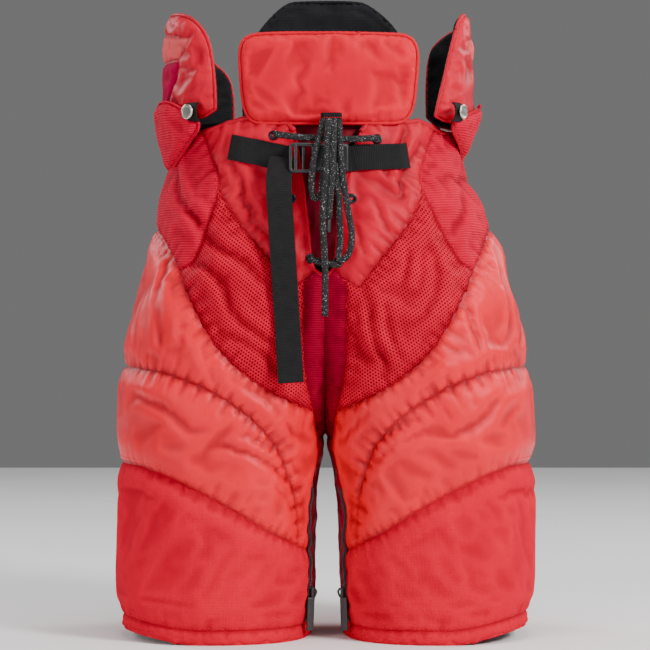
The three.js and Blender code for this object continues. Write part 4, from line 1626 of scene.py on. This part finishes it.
def dash_row(shell, run, offset, name, look="thread", length=3.0, step=4.6, radius=0.42, skip=2.0):
    """Raised stitches beside a seam: one small rounded thread per stitch."""
    line = resampled(run, 1.0)
    along = np.gradient(line, axis=0)
    along /= np.maximum(np.linalg.norm(along, axis=1), 1e-9)[:, None]
    line = line + np.stack([-along[:, 1], along[:, 0]], axis=1) * offset
    starts = np.arange(skip, len(line) - length - skip, step).astype(int)
    places = np.vstack([line[starts], line[starts + int(length / 2)], line[starts + int(length)]])
    points, normals = shell.sample(places, 0.1 * MM)
    n = len(starts)
    first, middle, last = points[:n], points[n:2 * n], points[2 * n:]
    first = first - normals[:n] * 0.5 * MM
    last = last - normals[2 * n:] * 0.5 * MM
    direction = last - first
    direction /= np.maximum(np.linalg.norm(direction, axis=1), 1e-9)[:, None]
    side = np.cross(direction, normals[n:2 * n])
    side /= np.maximum(np.linalg.norm(side, axis=1), 1e-9)[:, None]
    out = normals[n:2 * n]
    verts, faces = [], []
    sides = 5
    rings = [(first, 0.5), (first * 0.7 + middle * 0.3, 1.0), (middle, 1.0),
             (last * 0.7 + middle * 0.3, 1.0), (last, 0.5)]
    for centre, grow in rings:
        for k in range(sides):
            turn = 2 * math.pi * k / sides
            verts.append(centre + (side * math.cos(turn) + out * math.sin(turn)) * radius * grow * MM)
    stacked = np.stack(verts, axis=1)
    per = len(rings) * sides
    for i in range(n):
        base = i * per
        for r in range(len(rings) - 1):
            for k in range(sides):
                a = base + r * sides + k
                b = base + r * sides + (k + 1) % sides
                faces.append((a, b, b + sides, a + sides))
    return mesh_object(name, stacked.reshape(-1, 3), faces, LOOKS[look])


STITCHED = {
    "thigh": (THIGH_SEAM, True, (3.2,), "upper_thigh", "nylon"),
    "mid_thigh": (MID_THIGH_SEAM, True, (-3.4,), "mid_thigh", "nylon"),
    "lower_thigh": (LOWER_SEAM, True, (-3.4, -7.0), "lower_thigh", "cordura"),
    "yoke": (YOKE_SEAM, True, (3.0,), "yoke", "nylon"),
    "rib": (RIB_SEAM, True, (3.0,), "rib_panel", "rib_knit"),
    "seat": (SEAT_SEAM, False, (3.2,), "seat_panel", "nylon"),
    "back_thigh": (BACK_THIGH_SEAM, False, (-3.4,), "back_leg", "cordura"),
}


def make_stitches(side):
    shell = SHELLS[side]
    for name, (seam, front, offsets, node, slot) in STITCHED.items():
        run = seam_in_domain(seam, front=front)
        for k, offset in enumerate(offsets):
            piece = dash_row(shell, run, offset, f"{side}_{name}_stitches_{k + 1}")
            follow_leg(piece)
            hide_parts(node if node == "seat_panel" else f"{side}_{node}")
    hem = level_line(-np.pi, np.pi, 17.0)
    piece = dash_row(shell, hem, 0.0, f"{side}_hem_stitches")
    follow_leg(piece)
    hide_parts(f"{side}_hem_band")


def make_edges(side):
    shell = SHELLS[side]
    edge_roll(side, "waist_front_roll", shell.outline["waist_front"], 2.6, "yoke_nylon",
              f"{side}_yoke", body="girdle")
    edge_roll(side, "waist_back_roll", shell.outline["waist_back"], 2.8, "nylon",
              "seat_panel", body="girdle")
    edge_roll(side, "fly_roll", shell.outline["fly"], 1.8, "yoke_nylon", f"{side}_yoke",
              body="girdle")


for edge_side in SIDES:
    make_hem_roll(edge_side)
    make_edges(edge_side)
    make_stitches(edge_side)


# ------------------------------------------------------------------ belt and buckle

STRAP = oval(25 * MM, 1.7 * MM, 28, 9.0)
BELT_OFFSET = 1.3 * MM


def on_shell(side, places, lift):
    """Points on one side's cloth, from distances from the middle and heights."""
    flat = [flat_of(x, z) for x, z in places]
    return SHELLS[side].sample(flat, lift)[0]


def belt_line(side, places):
    """A line along the belt that clears the cloth over the strap's whole width."""
    rows = [on_shell(side, [(x, z + dz) for x, z in places], 0.0) for dz in (-12.5, -6, 0, 6, 12.5)]
    path = rows[2].copy()
    path[:, 1] = np.min([row[:, 1] for row in rows], axis=0)
    nearby = np.minimum(path[:, 1], np.minimum(np.roll(path[:, 1], 1), np.roll(path[:, 1], -1)))
    path[1:-1, 1] = nearby[1:-1]
    path[:, 1] -= BELT_OFFSET
    return smooth_path(path, 4)


def make_belt():
    right = belt_line("right", [(x, 476 + 0.055 * (x - 18)) for x in range(24, 96, 3)])
    right = np.vstack([(19.0 * MM, -122.0 * MM, 476.0 * MM), right])
    strap = sweep("belt_right_strap", curve_through(right / MM, 1.5) * MM, STRAP, LOOKS["webbing"])
    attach(strap, "girdle")
    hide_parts("belt_right")
    left = belt_line("left", [(x, 475.5 + 0.2 * (x - 36)) for x in range(93, 38, -3)])
    left = np.vstack([left, (-33.0 * MM, -122.0 * MM, 476.0 * MM)])
    strap_left = sweep("belt_left_strap", curve_through(left / MM, 1.5) * MM, STRAP,
                       LOOKS["webbing"])
    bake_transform(strap_left)
    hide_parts("belt_left")


def make_belt_tail():
    """The strap's free end: it comes from under the buckle and hangs down the left thigh."""
    points = [(-42.0, -116.4, 477.0), (-43.4, -121.3, 466.5), (-44.6, -127.5, 457.0)]
    for z in np.linspace(444.0, 257.5, 9):
        x = -45.4 + (457.0 - z) * 0.0625
        points.append((x, -131.8 - 1.0 * math.sin((457.0 - z) / 34.0), z))
    path = curve_through(points, 2.0) * MM
    tail = sweep("belt_tail_strap", path, STRAP, LOOKS["webbing"])
    stand_in(tail, "strap_end", "belt_tail")


def rounded_loop(x0, x1, z0, z1, r, y):
    return np.array([(x, y, z) for x, z in rounded_box(x0, x1, z0, z1, r)]) * MM


def plastic_bar(name, points, width, depth, power=4.0, up=(0.0, -1.0, 0.0)):
    path = curve_through(points, 1.0) * MM
    return sweep(name, path, oval(width * MM, depth * MM, 16, power), LOOKS["acetal"], up=up)


def join(name, pieces):
    """Joins meshes into one piece."""
    bm = bmesh.new()
    materials = []
    for piece in pieces:
        for material in piece.data.materials:
            if material not in materials:
                materials.append(material)
    for piece in pieces:
        slots = [materials.index(m) for m in piece.data.materials]
        start = len(bm.faces)
        bm.from_mesh(piece.data)
        bm.faces.ensure_lookup_table()
        for face in bm.faces[start:]:
            face.material_index = slots[face.material_index]
    mesh = bpy.data.meshes.new(name)
    bm.to_mesh(mesh)
    bm.free()
    for material in materials:
        mesh.materials.append(material)
    for piece in pieces:
        bpy.data.objects.remove(piece)
    return link(bpy.data.objects.new(name, mesh))


BUCKLE_Y = -122.0


def make_buckle():
    frame = sweep("frame", rounded_loop(-33.5, -11.5, 463, 489, 3.0, BUCKLE_Y),
                  oval(3.4 * MM, 7.0 * MM, 14, 4.0), LOOKS["acetal"], closed=True)
    bars = [plastic_bar("bar", [(x, y, 463), (x, y, 476), (x, y, 489)], 3.2, 3.6)
            for x, y in ((-28.5, -124.6), (-21.0, -121.0))]
    spine = plastic_bar("spine", [(-12, BUCKLE_Y, 476), (-2, BUCKLE_Y, 476), (8, BUCKLE_Y, 476)],
                        4.6, 3.6)
    plug = join("buckle_plug_body", [frame, spine] + bars)
    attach(plug, "buckle_male")
    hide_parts("buckle_plug")
    sleeve_path = np.array([(7.0, BUCKLE_Y + a, 476.0 + b)
                            for a, b in rounded_box(-4.4, 4.4, -12.8, 12.8, 3.6)]) * MM
    sleeve = sweep("sleeve", sleeve_path, oval(2.2 * MM, 31.0 * MM, 20, 7.0), LOOKS["acetal"],
                   closed=True, up=(1.0, 0.0, 0.0))
    end_bar = plastic_bar("end_bar", [(20.6, BUCKLE_Y, 464), (20.6, BUCKLE_Y, 476),
                                      (20.6, BUCKLE_Y, 488)], 4.4, 8.6, 3.0)
    rim = sweep("rim", np.array([(-8.0, BUCKLE_Y + a, 476.0 + b)
                                 for a, b in rounded_box(-4.8, 4.8, -13.2, 13.2, 3.8)]) * MM,
                oval(1.9 * MM, 3.0 * MM, 10), LOOKS["acetal"], closed=True, up=(1.0, 0.0, 0.0))
    socket = join("buckle_socket_body", [sleeve, end_bar, rim])
    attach(socket, "girdle")
    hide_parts("buckle_socket")
    for name, sign in (("upper", 1), ("lower", -1)):
        prong = plastic_bar(f"buckle_prong_{name}_arm", [
            (-10, BUCKLE_Y, 476 + sign * 8.5), (0, BUCKLE_Y, 476 + sign * 8.8),
            (8, BUCKLE_Y, 476 + sign * 9.6), (13, BUCKLE_Y, 476 + sign * 8.0)], 3.2, 4.4)
        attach(prong, f"prong_{name}")
        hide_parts(f"buckle_prong_{name}")


make_belt()
make_belt_tail()
make_buckle()


# ------------------------------------------------------------------ lace fittings

EYELETS = {
    "top_left": (-50.6, 499), "top_right": (54, 496), "middle_left": (-34, 436),
    "middle_right": (27, 436), "lower_left": (-14.6, 378), "lower_right": (14, 374),
}


def ring_piece(name, centre, normal, radius, width, height, look):
    """A domed ring that lies across a normal."""
    normal = Vector(normal).normalized()
    across = normal.orthogonal().normalized()
    other = normal.cross(across)
    turns = np.linspace(0, 2 * np.pi, 28, endpoint=False)
    path = [Vector(centre) + (across * math.cos(t) + other * math.sin(t)) * radius for t in turns]
    return sweep(name, np.array(path), oval(width, height, 12), LOOKS[look], closed=True,
                 up=tuple(normal))


def make_eyelets():
    for name, (x, z) in EYELETS.items():
        side = "left" if x < 0 else "right"
        point, normal = SHELLS[side].sample([flat_of(abs(x), z)], 0.7 * MM)
        ring = ring_piece("ring", point[0], normal[0], 3.6 * MM, 2.9 * MM, 1.7 * MM, "dark_metal")
        lip = ring_piece("lip", point[0] - normal[0] * 1.0 * MM, normal[0], 2.0 * MM, 0.9 * MM,
                         2.6 * MM, "dark_metal")
        eyelet = join(f"eyelet_{name}_ring", [ring, lip])
        stand_in(eyelet, "girdle", f"eyelet_{name}")


def make_keeper():
    loop = np.array([(x, y, 516.6) for x, y in rounded_box(-3.4, 15.6, -123.4, -112.6, 3.6)]) * MM
    band = sweep("lace_keeper_band", loop, oval(1.5 * MM, 7.0 * MM, 14, 5.0), LOOKS["webbing"],
                 closed=True, up=(0.0, 0.0, 1.0))
    stitches = []
    for k in range(7):
        x = -1.6 + k * 2.6
        stitches.append(sweep("stitch", np.array([(x, -124.3, 515.2), (x + 0.9, -124.5, 515.2),
                                                  (x + 1.8, -124.3, 515.2)]) * MM,
                              oval(0.7 * MM, 0.7 * MM, 6), LOOKS["thread"], up=(0, 0, 1)))
    keeper = join("lace_keeper_loop", [band] + stitches)
    stand_in(keeper, "belly_guard", "lace_keeper")


def make_knot():
    turns = np.linspace(0, 2 * np.pi, 90, endpoint=False)
    x = 5.4 + 3.3 * np.cos(turns) + 1.4 * np.cos(2 * turns)
    y = -128.2 + 1.5 * np.sin(3 * turns)
    z = 504.6 + 3.3 * np.sin(turns) - 1.4 * np.sin(2 * turns)
    knot = sweep("lace_knot_wrap", np.stack([x, y, z], axis=1) * MM,
                 oval(LACE_WIDTH * 0.8, LACE_WIDTH * 0.6, 12), LOOKS["lace"], closed=True)
    stand_in(knot, "girdle", "lace_knot")


def make_aglet():
    end = LACES["lace_tail_right"][1]
    path = np.linspace(end[-1], end[-1] + (end[-1] - end[-4]) / np.linalg.norm(end[-1] - end[-4])
                       * 13 * MM, 10)
    scale = np.array([0.7, 0.95, 1, 1, 1, 1, 1, 1, 0.95, 0.7])
    tip = sweep("lace_tail_right_tip", path, oval(3.9 * MM, 3.5 * MM, 14), LOOKS["acetal"],
                scale=scale)
    stand_in(tip, "girdle", "lace_tail_right")
    return tip


def declare_laces():
    tip = make_aglet()
    for name, (piece, path) in LACES.items():
        stand_in(piece, "girdle", name)


make_eyelets()
make_keeper()
make_knot()
declare_laces()


# ------------------------------------------------------------------ fly, buttons and zips

def make_fly_tongue():
    columns, rows = 34, 54
    points, faces, flat = [], [], []
    for r in range(rows + 1):
        z = 372.0 + (514.0 - 372.0) * r / rows
        part = (z - 374.0) / 130.0
        low, high = -24.0 - 20.0 * part, 20.0 + 28.0 * part
        for c in range(columns + 1):
            x = low + (high - low) * c / columns
            fold = 2.4 * ripples(np.array([x]), np.array([z]), 62, 26, 11)[0]
            y = np.interp(z, [372, 400, 460, 500, 515], [-112.0, -109.5, -104.0, -99.5, -96.5])
            y = y + 0.0022 * x * x - fold
            points.append((x * MM, y * MM, z * MM))
            flat.append((x * MM, z * MM))
    for r in range(rows):
        for c in range(columns):
            a = r * (columns + 1) + c
            faces.append((a, a + 1, a + columns + 2, a + columns + 1))
    # Its cloth is red nylon darkened as painted shade, for the shade in the fly's recess.
    tongue = mesh_object("fly_tongue_cloth", points, faces, LOOKS["fly_nylon_painted_shade"])
    set_uv(tongue, flat)
    set_fold(tongue.data, np.full(len(points), 0.5))
    thick = tongue.modifiers.new("thickness", "SOLIDIFY")
    thick.thickness = 1.6 * MM
    stand_in(tongue, "girdle", "fly_tongue")


def lathe(name, profile, foot, axis, look, sides=36):
    """Turns a profile of (radius, height) in mm round an axis."""
    axis = Vector(axis).normalized()
    across = axis.orthogonal().normalized()
    other = axis.cross(across)
    points, faces = [], []
    for r, h in profile:
        for k in range(sides):
            t = 2 * math.pi * k / sides
            points.append(Vector(foot) * MM + axis * h * MM
                          + (across * math.cos(t) + other * math.sin(t)) * r * MM)
    for i in range(len(profile) - 1):
        for k in range(sides):
            l = (k + 1) % sides
            faces.append((i * sides + k, i * sides + l, (i + 1) * sides + l, (i + 1) * sides + k))
    return mesh_object(name, [tuple(p) for p in points], faces, LOOKS[look])


BUTTON_PROFILE = [
    (0.1, 0.0), (3.6, 0.0), (3.8, 1.8), (4.2, 2.3), (6.9, 2.6), (7.4, 3.1), (7.45, 3.7), (7.0, 4.3),
    (6.0, 4.55), (5.4, 4.35), (5.0, 4.2), (3.0, 4.35), (0.1, 4.45),
]
BUTTON_X = {"left": 134.0, "right": 134.0}


def make_button(side):
    sign = SIDES[side]
    x = BUTTON_X[side]
    turn = math.radians(40.0 if side == "left" else 58.0)
    axis = Vector((sign * math.sin(turn), -math.cos(turn), 0.0))
    foot = Vector((sign * x, -83.0, 524.0))
    button = lathe(f"{side}_suspender_button_head", BUTTON_PROFILE, foot, axis, "metal")
    path = [foot - axis * 5 + Vector((0, 0, 9)), foot - axis * 2.2 + Vector((0, 0, 6)),
            foot - axis * 1.2 + Vector((0, 0, 0)), foot - axis * 2.6 + Vector((0, 0, -7)),
            foot - axis * 6.0 + Vector((0, 0, -9))]
    tab = sweep(f"{side}_button_tab", curve_through([tuple(p) for p in path], 1.0) * MM,
                oval(17 * MM, 1.6 * MM, 24, 8.0), LOOKS["webbing"], up=tuple(axis))
    for piece, slot in ((button, "metal"), (tab, "webbing")):
        stand_in(piece, "girdle", f"{side}_suspender_button")


ZIP_LINE_Y = -50.0


def zip_path(side, z0, z1, lift, step=1.0):
    heights = np.arange(z0, z1 + 0.1, step)
    u = np.array([SURFACE.turn_at_y(ZIP_LINE_Y, z, False) for z in heights])
    s = SURFACE.arc_of(u, heights)
    points, normals = SHELLS[side].sample(list(zip(s, heights)), lift)
    return smooth_path(points, 20), normals


def make_zip(side):
    sign = SIDES[side]
    path, normals = zip_path(side, 18.0, 152.0, 0.8 * MM)
    up = tuple(normals.mean(axis=0))
    tape = sweep(f"{side}_zip_tape_cloth", path, oval(7 * MM, 1.0 * MM, 16, 7.0), LOOKS["zip"],
                 up=up)
    coil_path, _ = zip_path(side, 19.0, 151.0, 2.0 * MM, 0.5)
    teeth = 1.0 + 0.22 * np.sign(np.sin(2 * np.pi * np.arange(len(coil_path)) * 0.5 / 2.6))
    coil = sweep(f"{side}_zip_coil", coil_path, oval(3.4 * MM, 2.0 * MM, 10, 4.0), LOOKS["zip"],
                 scale=teeth, up=up)
    for piece in (tape, coil):
        follow_leg(piece)
        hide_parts(f"{side}_zip_tape")
    spot = coil_path[54] / MM
    centre = Vector((spot[0] - sign * 2.4, spot[1] - 1.4, 46.0))
    body_path = [centre + Vector((0, 0, z)) for z in (-5.0, -2.5, 0.0, 2.5, 5.0)]
    slider = sweep(f"{side}_zip_slider_body", curve_through([tuple(p) for p in body_path], 1.0) * MM,
                   oval(7.2 * MM, 3.8 * MM, 16, 3.5), LOOKS["zip"], up=(-sign * 1.0, 0.0, 0.0))
    bridge = sweep("bridge", curve_through([
        tuple(centre + Vector((-sign * 2.0, 0, 4.5))), tuple(centre + Vector((-sign * 4.0, 0, 1.0))),
        tuple(centre + Vector((-sign * 2.0, 0, -4.5)))], 0.8) * MM, oval(2.2 * MM, 1.3 * MM, 10),
        LOOKS["zip"], up=(0.0, 1.0, 0.0))
    slider = join(f"{side}_zip_slider_body", [slider, bridge])
    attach(slider, f"{side}_slider")
    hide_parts(f"{side}_zip_slider")
    top = centre + Vector((sign * 1.2, -4.0, -4.5))
    tab_path = [top + Vector((sign * 0.25 * k, -0.3 * k, -6.6 * k)) for k in range(6)]
    pull = sweep(f"{side}_zip_pull_tab", curve_through([tuple(p) for p in tab_path], 1.0) * MM,
                 oval(7.6 * MM, 1.6 * MM, 20, 5.0), LOOKS["zip"], up=(-sign * 0.45, -0.9, 0.0))
    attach(pull, f"{side}_pull")
    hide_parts(f"{side}_zip_pull")


def make_waist_band():
    """The black inner band that the pads stand on, all round inside the waist."""
    turns = np.linspace(-np.pi / 2, np.pi / 2, 60)
    rings = []
    for z, inset in ((462.0, 13.0), (490.0, 12.0), (505.0, 14.0), (514.0, 16.0), (515.5, 18.0),
                     (510.0, 19.5), (488.0, 18.0), (462.0, 17.0)):
        x, y = SURFACE.place(turns, min(z, 508.0), -inset)
        wave = 0.8 * np.sin(turns * 23.0 + z / 9.0)
        right = np.stack([x + wave - 16.0 * smoothstep(x / 150.0), y, z + 0 * x], axis=1)
        left = np.stack([-x - wave, y, z + 0 * x], axis=1)[::-1]
        rings.append(np.vstack([right, left[1:-1]]))
    n = len(rings[0])
    faces = []
    for i in range(len(rings)):
        j = (i + 1) % len(rings)
        for k in range(n):
            l = (k + 1) % n
            faces.append((i * n + k, i * n + l, j * n + l, j * n + k))
    band = mesh_object("waist_inner_band", np.vstack(rings) * MM, faces, LOOKS["lining"])
    stand_in(band, "girdle", "waist_liner")


make_fly_tongue()
make_waist_band()
for trim_side in SIDES:
    make_button(trim_side)
    make_zip(trim_side)


# ------------------------------------------------------------------ floor, light and finish

def make_stage():
    floor = mesh_object("studio_floor", [(-3, -3, 0), (3, -3, 0), (3, 3, 0), (-3, 3, 0)],
                        [(0, 1, 2, 3)])
    paint = Shader("floor_paint")
    tone = paint.noise(3.0, 2.0)
    floor.data.materials.append(
        paint.finish(paint.ramp(tone, [(0.3, (0.80, 0.80, 0.80)), (0.7, (0.84, 0.84, 0.84))]), 0.9))


LIGHTS = {
    # name: place, side length, power in watts
    "key": ((2.0, -1.9, 1.7), 0.8, 116),
    "fill": ((-1.7, -2.2, 1.0), 1.2, 34),
    "top": ((0.1, -0.5, 2.6), 1.4, 34),
    "rim_left": ((-2.0, 1.2, 1.6), 1.2, 30),
    "rim_right": ((2.0, 1.2, 1.6), 1.2, 30),
}


def make_lights():
    world = bpy.data.worlds.new("studio")
    world.use_nodes = True
    background = world.node_tree.nodes["Background"]
    background.inputs[0].default_value = (1, 1, 1, 1)
    background.inputs[1].default_value = 0.17
    bpy.context.scene.world = world
    for name, (place, size, power) in LIGHTS.items():
        data = bpy.data.lights.new(f"studio_{name}", "AREA")
        data.size = size
        data.energy = power
        lamp = link(bpy.data.objects.new(f"studio_{name}", data))
        lamp.location = place
        direction = Vector((0, 0, 0.3)) - Vector(place)
        lamp.rotation_euler = direction.to_track_quat("-Z", "Y").to_euler()


make_stage()
make_lights()
